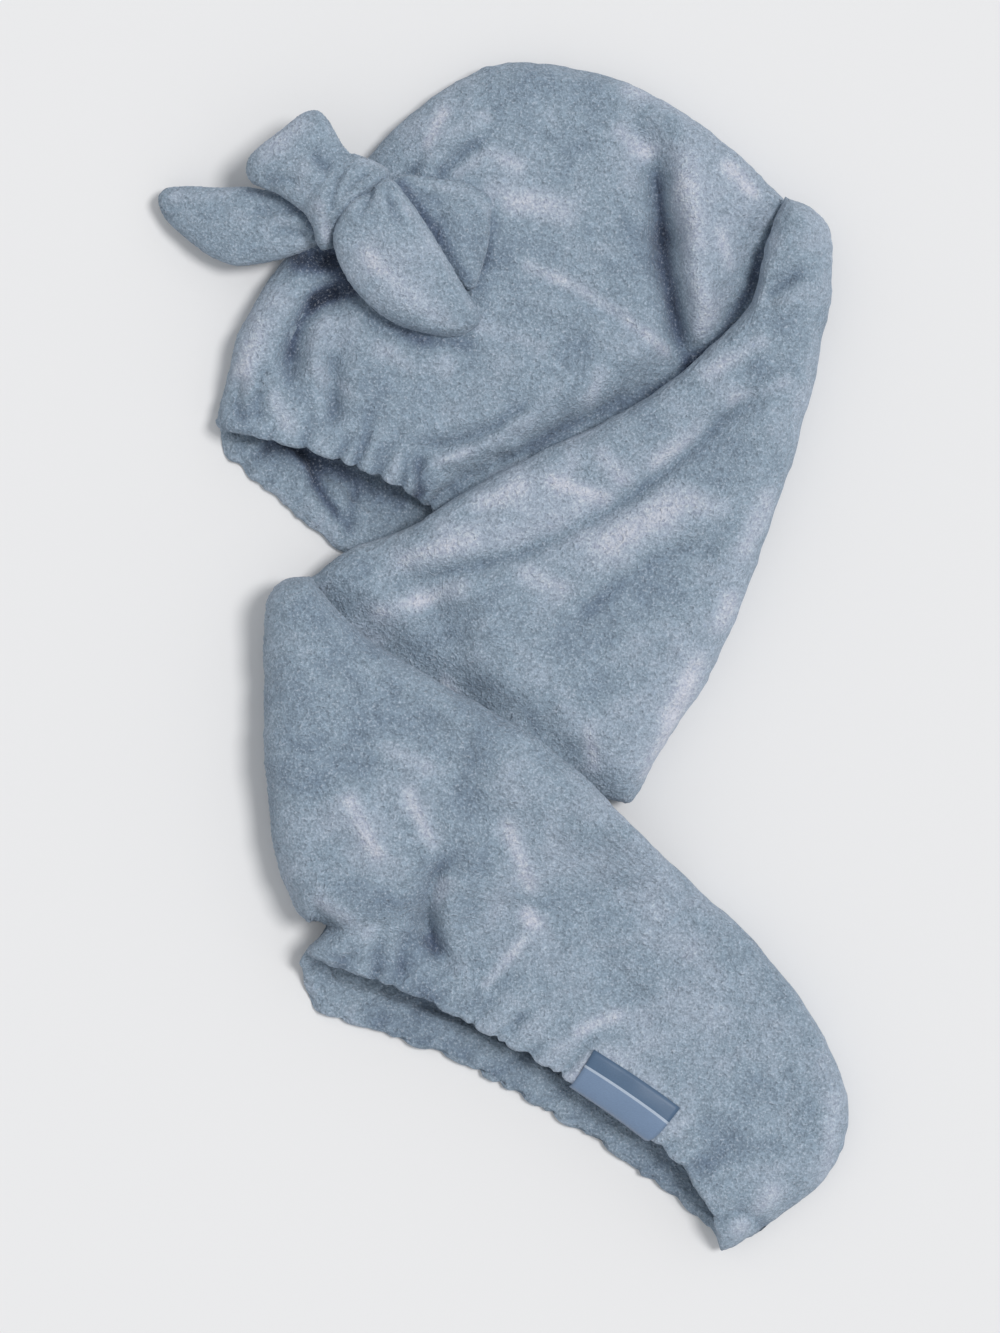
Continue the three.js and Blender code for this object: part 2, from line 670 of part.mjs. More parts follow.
// The sleeve's end beside a seam, grown by seamGap, which the hem is shaped to
function seamEnvelope(layer, sections, lip) {
  return solidFrom(sleeveGeometry(stationsOf(layer, sections, lip), seamGap));
}

function hemSolid(layer, mouth, seam, sleeveEnd, lip) {
  const steps = withHalfSteps(loopSteps(upperSteps, lowerSteps));
  const loops = hemProfile.map(({ from, depth }) => {
    const loop = steps.map(({ side, across }, i) => {
      const wave = (1 - Math.cos((2 * Math.PI * gatherCount * i) / steps.length)) / 2;
      const gather = depth < 0.5 && side === 'P' ? gatherDepth * wave : 0;
      return hemPoint(layer, mouth, seam, lip, side, across, from, depth * hemWall + gather);
    });
    return from > 0.9 ? straightened(loop) : loop;
  });
  const whole = solidFrom(meshFromLoops(loops, 'ring'));
  return trimmed(whole.subtract(seamEnvelope(layer, sleeveEnd, lip)));
}

// The label is folded over the lower mouth's upper hem.
function labelGeometry() {
  const { length } = acrossAndForward(pocketMouth);
  const steps = 8;
  const outer = [
    { from: labelCover, depth: 0 },
    { from: 0.42, depth: 0 },
    { from: 0.09, depth: 0.1 },
    { from: -0.03, depth: 0.5 },
    { from: 0.1, depth: 0.92 },
    { from: labelTuck, depth: 1 },
  ];
  const offsetPoint = (across, { from, depth }, clear) => {
    const outFromMiddle = (depth - 0.5) * 2;
    const shift = clear * outFromMiddle;
    const past = from < 0.2 ? (clear / hemWidth) * (1 - Math.abs(outFromMiddle)) : 0;
    return hemPoint(
      layers.pocket, pocketMouth, pocketSeam, pocketLipShape, 'P', across + labelLean * from,
      from - past, depth * hemWall + shift,
    );
  };
  const loops = Array.from({ length: steps + 1 }, (_, i) => {
    const across = labelPlace + (labelLength / length) * (i / steps - 0.5);
    return [
      ...outer.map((row) => offsetPoint(across, row, labelGap)),
      ...[...outer].reverse().map((row) => offsetPoint(across, row, labelGap + labelThickness)),
    ];
  });
  return meshFromLoops(loops, 'strip');
}

// The bow's ends are padded and flattened, and each follows its rows.
function bowEndSolid(rows, grow) {
  const spine = new THREE.CatmullRomCurve3(
    rows.map((row) => {
      const plan = place(row.x, row.y);
      return new THREE.Vector3(plan.x, plan.y, bowLift + bowRise * row.lift);
    }),
    false,
    'centripetal',
  );
  const sections = 8;
  const sides = 10;
  const loops = Array.from({ length: sections + 1 }, (_, i) => {
    const t = i / sections;
    const centre = spine.getPoint(t);
    const tangent = spine.getTangent(t);
    const beside = quarterTurn(new THREE.Vector2(tangent.x, tangent.y).normalize());
    const sized = rows.map((row, n) => ({ ...row, at: n / (rows.length - 1) }));
    const wide = tailHalfWidth * tableValue(sized, 'at', 'wide', t) + grow;
    const thick = tailHalfThickness * tableValue(sized, 'at', 'thick', t) + grow;
    return Array.from({ length: sides }, (_, j) => {
      const angle = (2 * Math.PI * j) / sides;
      const out = wide * Math.cos(angle);
      return new THREE.Vector3(
        centre.x + beside.x * out,
        centre.y + beside.y * out,
        centre.z + thick * Math.sin(angle),
      );
    });
  });
  return solidFrom(meshFromLoops(loops, 'fan'));
}

function knotSolid(grow) {
  const ball = new THREE.SphereGeometry(1, 14, 10);
  ball.deleteAttribute('normal');
  ball.deleteAttribute('uv');
  const plan = place(knotPlace.x, knotPlace.y);
  ball.scale(knotWidth / 2 + grow, knotLength / 2 + grow, knotHeight / 2 + grow);
  ball.rotateZ(-0.5);
  ball.translate(plan.x, plan.y, bowLift + bowRise * knotPlace.lift);
  return solidFrom(ball);
}

// The upper hood's outer form, grown by bowGap, which the bow's pieces are shaped to
function hoodEnvelope() {
  const steps = loopSteps(upperSteps, lowerSteps);
  const loops = upperHoodStations.map((station) =>
    steps.map(({ side, across }) => station(side, across, -bowGap)));
  return solidFrom(meshFromLoops(loops, 'fan'));
}

// What a cut leaves of a solid: its largest piece, without facets finer than detail
function trimmed(solid, detail = cutDetail) {
  return solid
    .decompose()
    .reduce((best, part) => (part.volume() > best.volume() ? part : best))
    .simplify(detail);
}

function bowSolids() {
  const hood = hoodEnvelope();
  const knot = knotSolid(0).subtract(hood);
  const knotRoom = knotSolid(bowGap);
  const solids = { bow_knot: knot };
  const order = ['bow_front_tail', 'bow_back_tail', 'bow_upper_loop', 'bow_left_tail'];
  const taken = [hood, knotRoom];
  order.forEach((name) => {
    const whole = bowEndSolid(bowRows[name], 0);
    solids[name] = taken.reduce((left, room) => left.subtract(room), whole);
    taken.push(bowEndSolid(bowRows[name], bowGap));
  });
  return Object.fromEntries(
    Object.entries(solids).map(([name, solid]) => [name, trimmed(solid)]),
  );
}

const plush = new THREE.MeshStandardMaterial({ color: 0x8c9cab, roughness: 0.95, metalness: 0 });
const gatheredPlush = new THREE.MeshStandardMaterial({ color: 0x8496a6, roughness: 0.95, metalness: 0 });
const satin = new THREE.MeshStandardMaterial({ color: 0x4f6a86, roughness: 0.45, metalness: 0 });

const towel = new THREE.Group();

function addPiece(name, geometry, material) {
  const mesh = new THREE.Mesh(geometry, material);
  mesh.name = name;
  towel.add(mesh);
}

addPiece('upper_hood', sleeveGeometry(upperHoodStations), plush);
addPiece('crossing_band', geometryOf(bandSolid()), plush);
addPiece('lower_hood', sleeveGeometry(lowerHoodStations), plush);

// Each hem is shaped to the last bit of the sleeve and seamGap past it.
const seamShare = seamGap / hemWidth;
const hoodEnd = [sectionBetween(hoodSeam, hoodMouth, seamShare), ...hoodRun.slice(0, 2)];
const pocketEnd = [...pocketRun.slice(-2), sectionBetween(pocketSeam, pocketMouth, seamShare)];
const hoodHem = hemSolid(layers.hood, hoodMouth, hoodSeam, hoodEnd, hoodLipShape);
const pocketHem = hemSolid(layers.pocket, pocketMouth, pocketSeam, pocketEnd, pocketLipShape);
addPiece('hood_hem', geometryOf(hoodHem), gatheredPlush);
addPiece('pocket_hem', geometryOf(pocketHem), gatheredPlush);
Object.entries(bowSolids()).forEach(([name, solid]) => {
  addPiece(name, geometryOf(solid), plush);
});
addPiece('label', labelGeometry(), satin);

// The origin is under the middle of the whole towel.
const box = new THREE.Box3().setFromObject(towel);
const middle = box.getCenter(new THREE.Vector3());
towel.position.set(-middle.x, -middle.y, -box.min.z);

export default towel;
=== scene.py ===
"""A plush hair turban towel with a bow, lying folded: its soft goods, materials, light and camera.

The towel's tables and form are those of its solids, so the cloth lies where they are. Plan points of
folds and of the bow are places in the view from above, 1000 wide and 1333 high, across and down.
Lengths are millimetres until a mesh is made, and metres after that.
"""

import bpy
import numpy as np
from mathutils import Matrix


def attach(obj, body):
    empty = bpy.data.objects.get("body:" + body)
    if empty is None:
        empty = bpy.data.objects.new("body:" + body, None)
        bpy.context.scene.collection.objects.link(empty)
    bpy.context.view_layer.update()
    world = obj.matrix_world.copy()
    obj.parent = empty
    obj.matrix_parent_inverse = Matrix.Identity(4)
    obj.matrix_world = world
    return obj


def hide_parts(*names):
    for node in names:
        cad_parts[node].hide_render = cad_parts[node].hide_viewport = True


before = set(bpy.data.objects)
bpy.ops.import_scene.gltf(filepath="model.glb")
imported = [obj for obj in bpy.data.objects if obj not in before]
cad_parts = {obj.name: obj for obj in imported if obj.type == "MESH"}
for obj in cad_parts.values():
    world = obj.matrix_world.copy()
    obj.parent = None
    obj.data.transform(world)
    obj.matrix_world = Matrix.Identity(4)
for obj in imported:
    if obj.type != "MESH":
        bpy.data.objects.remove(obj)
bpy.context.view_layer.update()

# The folded towel
towel_width = 360
towel_length = 616
cloth_wall = 3.5
hood_loft = 22
band_loft = 20
pocket_loft = 22
pressed_loft = 15
layer_gap = 1.5
edge_round = 14
puff_round = 3 * edge_round
nose_share = 0.42
hood_puff = 6
band_puff = 3
pocket_puff = 7
press_reach = 22
drape_reach = 42
drape_margin = 9
stacked_press = 0.7

# Gathered hems
hem_width = 22
hem_wall = 6.5
hood_lip = 46
pocket_lip = 30

# Bow and label
bow_lift = 17
label_length = 50
label_place = 0.334
label_lean = 0.035
label_cover = 0.96
label_tuck = 0.45
label_thickness = 0.8
label_gap = 0.5

# From the middle of the tables to the model's origin
origin_shift = (1.681, -0.778)

# The view from above: its steps across and down, what one of them is in millimetres, and where the
# tables' middle lies
view_size = (1000, 1333)
view_step = 0.52
view_middle = (504, 657.5)

# Across a section of the flattened sleeve from edge a to edge b, as shares of towel_width from the
# left and of towel_length from the bottom: ax, ay, bx, by, bow, bow_at, lip.
hood_rows = [
    (0.098, 0.736, 0.627, 0.436, 0.2, 0.52, 1),
    (0.118, 0.776, 0.634, 0.432, 0.19, 0.51, 0.7),
    (0.173, 0.83, 0.64, 0.428, 0.17, 0.5, 0.35),
    (0.27, 0.901, 0.646, 0.424, 0.15, 0.48, 0.1),
    (0.371, 0.962, 0.652, 0.419, 0.13, 0.46, 0),
    (0.488, 1.001, 0.658, 0.415, 0.11, 0.43, 0),
    (0.624, 0.996, 0.663, 0.411, 0.1, 0.4, 0),
    (0.743, 0.965, 0.668, 0.407, 0.08, 0.37, 0),
    (0.834, 0.927, 0.672, 0.402, 0.07, 0.35, 0),
]
right_fold = (0.953, 0.88, 0.713, 0.372, 0.064, 0.33, 0)
band_rows = [
    (0.876, 0.844, 0.624, 0.382, 0.05, 0.35, 0),
    (0.853, 0.797, 0.569, 0.371, 0.03, 0.4, 0),
    (0.783, 0.754, 0.512, 0.361, 0.01, 0.45, 0),
    (0.688, 0.713, 0.457, 0.351, 0, 0.5, 0),
    (0.581, 0.68, 0.403, 0.341, 0, 0.5, 0),
    (0.465, 0.647, 0.353, 0.331, 0, 0.5, 0),
    (0.364, 0.61, 0.309, 0.321, -0.01, 0.5, 0),
    (0.28, 0.591, 0.272, 0.307, -0.02, 0.5, 0),
]
left_fold = (0.171, 0.567, 0.194, 0.285, -0.025, 0.5, 0)
pocket_rows = [
    (0.292, 0.522, 0.25, 0.289, -0.02, 0.5, 0),
    (0.408, 0.479, 0.254, 0.289, -0.03, 0.5, 0),
    (0.538, 0.436, 0.259, 0.29, -0.03, 0.48, 0),
    (0.653, 0.382, 0.263, 0.29, -0.04, 0.45, 0),
    (0.769, 0.312, 0.267, 0.29, -0.05, 0.42, 0),
    (0.877, 0.249, 0.27, 0.289, -0.06, 0.38, 0),
    (0.96, 0.181, 0.273, 0.289, -0.07, 0.35, 0.05),
    (0.997, 0.114, 0.276, 0.288, -0.08, 0.32, 0.25),
    (0.964, 0.059, 0.277, 0.287, -0.09, 0.3, 0.6),
    (0.873, 0.022, 0.279, 0.285, -0.09, 0.28, 1),
]
hood_draw = (0.64, 0.64)
pocket_draw = (0.64, 0.1)

# How far the lower cloth of each mouth reaches past the upper one: across, reach
hood_lip_rows = [
    (0, 0), (0.06, 0.36), (0.16, 0.6), (0.28, 0.85), (0.4, 1), (0.6, 0.85), (0.85, 0.3), (1, 0),
]
pocket_lip_rows = [
    (0, 0), (0.08, 0.35), (0.2, 0.62), (0.4, 0.72), (0.65, 0.72), (0.8, 0.9), (0.93, 1), (1, 0.3),
]

# Broad folds and ridges of the solids: layer, x1, y1, x2, y2, rise, spread
broad_folds = [
    ("hood", 0.704, 0.934, 0.731, 0.852, -7, 9),
    ("hood", 0.731, 0.852, 0.764, 0.743, -8, 10),
    ("hood", 0.76, 0.945, 0.8, 0.768, 4, 12),
    ("hood", 0.237, 0.81, 0.199, 0.751, -5, 7),
    ("hood", 0.256, 0.8, 0.256, 0.717, -5, 7),
    ("hood", 0.383, 0.673, 0.581, 0.698, -4, 7),
    ("hood", 0.447, 0.645, 0.581, 0.689, -4, 6),
    ("band", 0.847, 0.714, 0.639, 0.624, -4, 8),
    ("band", 0.639, 0.624, 0.405, 0.572, -3, 8),
    ("pocket", 0.418, 0.332, 0.39, 0.283, -5, 8),
    ("pocket", 0.39, 0.283, 0.412, 0.241, -5, 7),
    ("pocket", 0.273, 0.377, 0.328, 0.342, 3, 9),
    ("pocket", 0.639, 0.245, 0.697, 0.203, -3, 9),
    ("pocket", 0.848, 0.038, 0.887, 0.024, -3, 6),
]

# Where the lying cloth is pushed aside a little: x, y, right, up, spread
nudge_rows = [
    (0.25, 0.24, -12, 0, 32),
    (0.81, 0.01, 0, -7, 32),
    (0.76, 0.407, -12, 0, 32),
    (0.259, 0.284, -7, -8, 18),
    (0.181, 0.295, 5, 0, 16),
]

# Creases in the upper face of a layer or a bow piece: the valley's depth and width, then the height,
# side offset and width of the cloth that bulges beside it, and points of the view from above along
# it. A positive offset is to the right of the line as it runs.
# crease_relief also paints shade into each valley and a highlight onto each bulge.
creases = {"hood": [
    ((8, 6), (7, -13, 11), [(648, 143), (660, 193), (664, 264), (674, 312), (682, 346), (688, 374)]),
    ((6, 5), (4, -12, 9), [(325, 290), (308, 312), (297, 334), (291, 359), (291, 395)]),
    ((4, 3.4), (1.6, 7, 6), [(334, 345), (333, 380), (335, 405), (330, 432)]),
    ((4, 4), (2, -7, 6), [(243, 372), (238, 395), (241, 412), (250, 428)]),
    ((5, 3), (2.6, 6, 5), [(421, 456), (434, 446), (467, 439), (489, 430), (512, 415), (540, 400)]),
    ((5.5, 3), (2.6, 6, 5),
     [(464, 487), (484, 472), (512, 456), (556, 430), (598, 410), (640, 388)]),
    ((5, 2.6), (2.4, 5, 4), [(421, 452), (419, 472), (419, 488), (423, 506)]),
    ((4, 2.4), (2.0, 5, 4), [(411, 450), (405, 470), (404, 486), (409, 500)]),
    ((3.4, 2.6), (1.6, 5, 4), [(374, 428), (366, 446), (360, 464), (358, 482)]),
    ((3, 2.6), (1.4, 5, 4), [(388, 438), (378, 456), (374, 470), (376, 486)]),
    ((4, 9), (0, 6, 5), [(306, 260), (324, 262), (350, 270), (372, 276)]),
    ((4, 6), (3, -10, 6), [(314, 302), (334, 294), (364, 286), (380, 280)]),
    ((5, 4.5), (3.5, -9, 8), [(434, 190), (450, 167), (470, 151), (494, 146)]),
    ((3.5, 4), (1.6, -8, 7), [(270, 360), (259, 392), (262, 428)]),
    ((0, 4), (5, 0, 15), [(296, 286), (268, 318), (248, 356), (240, 400)]),
    ((2.5, 4), (2.6, 9, 8), [(520, 272), (572, 296), (620, 322), (664, 360)]),
    ((2.5, 4), (1.8, -8, 8), [(426, 150), (414, 176), (410, 190)]),
    ((2, 5), (1.6, 9, 8), [(480, 330), (540, 356), (590, 376)]),
], "band": [
    ((4.4, 3.6), (2.6, 8, 8),
     [(812, 360), (744, 402), (668, 469), (604, 514), (520, 553), (440, 574), (360, 590)]),
    ((5, 3.6), (3, 7, 6), [(760, 303), (783, 288), (804, 272)]),
    ((3, 5), (2.4, -10, 10), [(540, 660), (600, 600), (660, 560), (720, 540)]),
], "pocket": [
    ((6, 4.4), (4, -9, 8), [(449, 850), (433, 880), (428, 912), (434, 942), (446, 966)]),
    ((2.6, 3.2), (1.8, 6, 5), [(385, 930), (377, 952), (374, 980)]),
    ((2.6, 3.2), (1.8, 6, 5), [(410, 925), (402, 952), (404, 985)]),
    ((4, 3.6), (2.2, 7, 6), [(728, 1204), (752, 1216), (774, 1238)]),
    ((3.4, 4), (2.2, -7, 7), [(292, 862), (302, 884), (322, 914), (346, 934)]),
    ((0, 4), (3, 0, 12), [(500, 1020), (580, 1050), (660, 1100), (712, 1150)]),
], "hood inside": [
    ((4, 3), (2, 6, 5), [(314, 452), (316, 486), (346, 530)]),
    ((4, 3), (2, 6, 5), [(357, 478), (352, 504), (346, 534)]),
    ((3, 2.6), (1.5, 5, 4), [(272, 440), (262, 452), (248, 458)]),
], "bow_upper_loop": [
    ((3.4, 3), (1.8, 6, 5), [(312, 158), (322, 170), (334, 178)]),
    ((3, 2.6), (1.2, 5, 4), [(262, 192), (286, 186), (304, 190)]),
], "bow_knot": [
    ((3, 2.4), (1.2, 5, 4), [(346, 168), (340, 184), (334, 204), (332, 226)]),
    ((2.4, 2.2), (1, 5, 4), [(374, 176), (356, 188), (345, 206)]),
], "bow_front_tail": [
    ((3, 2.6), (1.4, 5, 4), [(372, 190), (368, 206), (360, 226)]),
    ((2.4, 2.4), (1.2, 5, 4), [(384, 190), (392, 210), (404, 232)]),
], "bow_back_tail": [
    ((2.4, 3), (1.2, 5, 5), [(400, 184), (424, 196), (446, 214)]),
], "bow_left_tail": [
    ((3.4, 3), (1.6, 6, 5), [(312, 240), (292, 234), (270, 232)]),
    ((2.6, 3), (1.4, 6, 5), [(300, 216), (276, 212), (250, 214)]),
]}

# Where a layer's pile is paler, from nap brushed the other way and from painted highlights on rims and
# ridges, or is painted with shade where the strength is negative: half width in steps of the view,
# strength, and points along it
nap_and_painted_light = {"hood": [
    (12, -0.5, [(302, 260), (326, 263), (350, 272)]),
    (6, -0.5, [(318, 300), (336, 293), (366, 284)]),
    (7, -0.2, [(344, 292), (372, 318), (424, 342), (466, 345)]),
    (5, -0.14, [(497, 204), (490, 240), (478, 290)]),
    (6, -0.16, [(322, 296), (300, 322), (292, 352)]),
    (9, -0.14, [(656, 180), (666, 264), (678, 330), (688, 376)]),
    (7, -0.3, [(786, 214), (762, 250), (750, 290), (724, 330), (690, 366)]),
    (6, -0.16, [(690, 372), (640, 398), (600, 418), (534, 452)]),
    (6, 0.24, [(444, 116), (428, 146)]),
    (5, 0.24, [(484, 118), (488, 122)]),
    (7, 0.22, [(458, 174), (486, 154), (518, 168)]),
    (12, 0.24, [(496, 202), (528, 206), (566, 216)]),
    (8, 0.22, [(620, 134), (646, 154)]),
    (6, 0.26, [(528, 268), (572, 288), (622, 318), (666, 352)]),
    (9, 0.16, [(480, 326), (540, 352)]),
    (7, 0.14, [(598, 370), (588, 410)]),
    (6, 0.2, [(722, 238), (728, 266)]),
    (8, 0.18, [(628, 88), (696, 114)]),
    (7, 0.24, [(726, 168), (752, 194)]),
    (8, 0.14, [(380, 350), (420, 372)]),
    (9, 0.14, [(262, 330), (248, 362), (240, 392)]),
    (8, 0.14, [(330, 380), (352, 400)]),
    (8, 0.16, [(276, 400), (286, 424)]),
    (5, 0.14, [(436, 464), (470, 452)]),
], "bow_back_tail": [
    (7, -0.26, [(402, 188), (420, 214), (444, 250), (474, 300)]),
    (6, 0.16, [(420, 186), (470, 196), (488, 214)]),
], "bow_left_tail": [
    (6, -0.26, [(250, 190), (276, 198), (292, 208), (308, 220), (320, 240)]),
    (7, 0.12, [(176, 196), (226, 196)]),
], "bow_knot": [
    (4, -0.2, [(392, 184), (366, 204), (346, 222), (338, 250)]),
    (4, -0.12, [(312, 226), (322, 250)]),
    (6, 0.16, [(322, 214), (328, 240)]),
], "bow_front_tail": [
    (4, -0.14, [(342, 282), (374, 314), (424, 337), (464, 341)]),
    (9, 0.16, [(370, 262), (404, 296), (440, 322)]),
    (4, 0.16, [(400, 200), (440, 256), (472, 310)]),
], "pocket": [
    (5, -0.12, [(336, 952), (372, 990), (398, 1004)]),
    (8, 0.22, [(352, 800), (378, 850)]),
    (7, 0.22, [(410, 794), (434, 842)]),
    (7, 0.2, [(508, 824), (530, 884)]),
    (8, 0.32, [(528, 914), (532, 920)]),
    (5, 0.2, [(522, 940), (486, 984)]),
    (6, 0.22, [(578, 1030), (616, 1014)]),
    (7, 0.2, [(440, 880), (426, 926)]),
    (9, 0.18, [(322, 900), (366, 928)]),
    (8, 0.14, [(384, 748), (428, 764)]),
    (7, 0.12, [(284, 800), (290, 850)]),
    (9, 0.16, [(832, 1100), (826, 1176)]),
    (9, 0.18, [(770, 1190), (738, 1228)]),
    (7, 0.14, [(452, 1020), (560, 1080)]),
    (14, 0.1, [(640, 900), (700, 960)]),
], "hood inside": [
    (9, -0.2, [(262, 428), (284, 444), (330, 466), (400, 500)]),
    (5, -0.16, [(300, 452), (318, 486), (348, 530)]),
], "band": [
    (8, 0.24, [(708, 374), (758, 346)]),
    (6, 0.22, [(732, 402), (784, 384)]),
    (8, 0.24, [(656, 464), (696, 438)]),
    (7, 0.22, [(602, 456), (620, 478)]),
    (6, 0.22, [(552, 482), (606, 502)]),
    (13, 0.24, [(604, 546), (644, 522), (684, 502), (714, 510)]),
    (9, 0.22, [(528, 574), (562, 590)]),
    (9, 0.22, [(418, 604), (462, 588)]),
    (7, 0.18, [(380, 612), (420, 600)]),
    (9, 0.2, [(742, 552), (766, 500)]),
    (8, 0.22, [(716, 626), (728, 600)]),
    (9, 0.26, [(696, 664), (682, 696)]),
    (10, 0.28, [(672, 716), (650, 772)]),
    (7, 0.22, [(586, 728), (594, 764)]),
    (7, 0.2, [(446, 682), (450, 694)]),
    (8, 0.18, [(404, 560), (470, 540)]),
    (9, 0.18, [(478, 506), (520, 490)]),
], "bow_upper_loop": [
    (9, 0.14, [(268, 160), (300, 132)]),
]}

# The bow's pieces. Each row is a section from edge a to edge b in the view from above, with the
# height of its middle over bow_lift and its half thickness.
bow_rows = {"bow_left_tail": [
    (326, 206, 328, 242, 6, 4),
    (316, 202, 322, 245, 5, 7),
    (302, 198, 312, 250, 4, 8.5),
    (285, 194, 296, 256, 4, 9.5),
    (266, 191, 278, 261, 3, 10),
    (247, 188, 258, 265, 2, 10.5),
    (228, 188, 237, 266, 0, 10),
    (207, 187.5, 213, 258, -2, 9.5),
    (190, 186, 192, 243, -4, 8.5),
    (175, 186, 174, 228, -6, 7.5),
    (165, 188, 164, 217, -7, 6),
    (160, 193, 160, 209, -8, 3.5),
], "bow_upper_loop": [
    (256, 157, 299, 121, 13, 3),
    (250, 164, 309, 115, 14, 8),
    (248, 175, 320, 115, 15, 11),
    (253, 186, 330, 125, 17, 12.5),
    (264, 192, 338, 139, 19, 12),
    (277, 197, 346, 152, 20, 11),
    (290, 205, 357, 163, 20, 10),
    (302, 214, 372, 171, 20, 8),
    (310, 220, 360, 184, 18, 4),
], "bow_front_tail": [
    (364, 196, 386, 182, 22, 4),
    (352, 207, 397, 188, 25, 9),
    (340, 224, 408, 202, 26, 11),
    (335, 243, 421, 220, 27, 11.5),
    (341, 268, 435, 242, 26, 12),
    (354, 291, 449, 265, 24, 11.5),
    (373, 311, 461, 285, 22, 11),
    (397, 327, 471, 301, 19, 10.5),
    (424, 335, 479, 314, 17, 10),
    (448, 339, 480, 324, 16, 8),
    (464, 337, 477, 329, 15, 3.5),
], "bow_back_tail": [
    (388, 182, 384, 214, 15, 5),
    (404, 178, 402, 236, 14, 7),
    (423, 179, 424, 258, 13, 7.5),
    (443, 182, 446, 276, 13, 7.5),
    (461, 184, 462, 289, 13, 7.5),
    (476, 190, 474, 291, 12, 7),
    (488, 198, 483, 268, 12, 6),
    (493, 207, 490, 236, 11, 3),
], "bow_knot": [
    (297, 187, 344, 156, 17, 5),
    (296, 198, 362, 160, 18, 11),
    (301, 210, 381, 168, 19, 14),
    (308, 220, 390, 178, 20, 15),
    (313, 229, 377, 194, 20, 14),
    (316, 238, 355, 216, 18, 12),
    (318, 246, 342, 237, 15, 9),
    (323, 252, 335, 249, 12, 4),
]}


def smoothstep(x):
    t = np.clip(x, 0, 1)
    return t * t * (3 - 2 * t)


def mix(low, high, share):
    return low + (high - low) * share


def from_view(across, down):
    """A point of the view from above, in the tables' millimetres."""
    return (across - view_middle[0]) * view_step, (view_middle[1] - down) * view_step


def view_line(points):
    return np.array([from_view(*point) for point in points])


def section_from(row):
    ax, ay, bx, by, *rest = row
    return [
        (ax - 0.5) * towel_width, (ay - 0.5) * towel_length,
        (bx - 0.5) * towel_width, (by - 0.5) * towel_length,
        *rest,
    ]


def across_and_forward(section):
    ax, ay, bx, by = section[..., 0], section[..., 1], section[..., 2], section[..., 3]
    length = np.hypot(bx - ax, by - ay)
    ux, uy = (bx - ax) / length, (by - ay) / length
    return ux, uy, -uy, ux, length


def moved(section, distance):
    _, _, fx, fy, _ = across_and_forward(section)
    out = section.copy()
    for place, forward in enumerate((fx, fy, fx, fy)):
        out[..., place] += forward * distance
    return out


def resample(rows, count):
    """Smooth sections through a list of chosen ones."""
    rows = np.asarray(rows, float)
    t = np.linspace(0, len(rows) - 1, count)
    i = np.minimum(len(rows) - 2, t.astype(int))
    f = (t - i)[:, None]
    before = np.vstack([2 * rows[0] - rows[1], rows, 2 * rows[-1] - rows[-2]])
    p0, p1, p2, p3 = before[i], before[i + 1], before[i + 2], before[i + 3]
    slope_in, slope_out = (p2 - p0) / 2, (p3 - p1) / 2
    return (
        (2 * f**3 - 3 * f**2 + 1) * p1 + (f**3 - 2 * f**2 + f) * slope_in
        + (3 * f**2 - 2 * f**3) * p2 + (f**3 - f**2) * slope_out
    )


def table_value(rows, at):
    keys, values = np.array(rows, float).T
    i = np.clip(np.searchsorted(keys, at, side="left") - 1, 0, len(keys) - 2)
    share = (at - keys[i]) / (keys[i + 1] - keys[i])
    return mix(values[i], values[i + 1], smoothstep(share) * 0.5 + share * 0.5)


def plan_points(sections, along):
    """Plan points at distances along each section, measured from its edge a."""
    ux, uy, fx, fy, length = (v[..., None] for v in across_and_forward(sections))
    share = np.clip(along / length, 0, 1)
    skewed = share ** (np.log(0.5) / np.log(sections[..., 5, None]))
    curve = sections[..., 4, None] * length * np.sin(np.pi * skewed)
    x = sections[..., 0, None] + ux * along + fx * curve
    y = sections[..., 1, None] + uy * along + fy * curve
    return x, y


def to_segment(x, y, px, py, ex, ey):
    """How near points lie to a segment from (px, py) along (ex, ey), and at what share of it."""
    share = np.clip(((x - px) * ex + (y - py) * ey) / (ex * ex + ey * ey or 1), 0, 1)
    return np.hypot(x - px - share * ex, y - py - share * ey), share


def distance_outside(outline, x, y):
    """How far points lie outside an outline, negative inside it."""
    nearest = np.full(x.shape, np.inf)
    inside = np.zeros(x.shape, bool)
    for (px, py), (qx, qy) in zip(outline, np.roll(outline, -1, axis=0)):
        nearest = np.minimum(nearest, to_segment(x, y, px, py, qx - px, qy - py)[0])
        if py != qy:
            crossing = px + (y - py) / (qy - py) * (qx - px)
            inside ^= ((py > y) != (qy > y)) & (x < crossing)
    return np.where(inside, -nearest, nearest)


def cover(outline, margin, reach, x, y):
    return 1 - smoothstep((distance_outside(outline, x, y) - margin) / reach)


# The plan of the sleeve
fold_radius = (pressed_loft + layer_gap + nose_share * (band_loft - pressed_loft)) / 2
fold_reach = fold_radius + (nose_share * pressed_loft + (1 - nose_share) * band_loft) / 2
right_end = np.array(section_from(right_fold), float)
left_end = np.array(section_from(left_fold), float)
right_turn = moved(right_end, -fold_reach)
left_turn = moved(left_end, fold_reach)
hood_chosen = np.array([*map(section_from, hood_rows), right_turn])
band_chosen = np.array([right_turn, *map(section_from, band_rows), left_turn])
pocket_chosen = np.array([left_turn, *map(section_from, pocket_rows)])
hood_seam = hood_chosen[0]
pocket_seam = pocket_chosen[-1]


def mouth_edge(seam, outward, draw):
    edge = moved(seam, outward * hem_width)
    ux, uy, *_ = across_and_forward(seam)
    edge[0] += ux * draw[0] * hem_width
    edge[1] += uy * draw[0] * hem_width
    edge[2] -= ux * draw[1] * hem_width
    edge[3] -= uy * draw[1] * hem_width
    return edge


hood_mouth = mouth_edge(hood_seam, -1, hood_draw)
pocket_mouth = mouth_edge(pocket_seam, 1, pocket_draw)


def along_section(section, count=9):
    length = across_and_forward(section)[4]
    x, y = plan_points(section[None], np.linspace(0, length, count)[None])
    return np.stack([x[0], y[0]], 1)


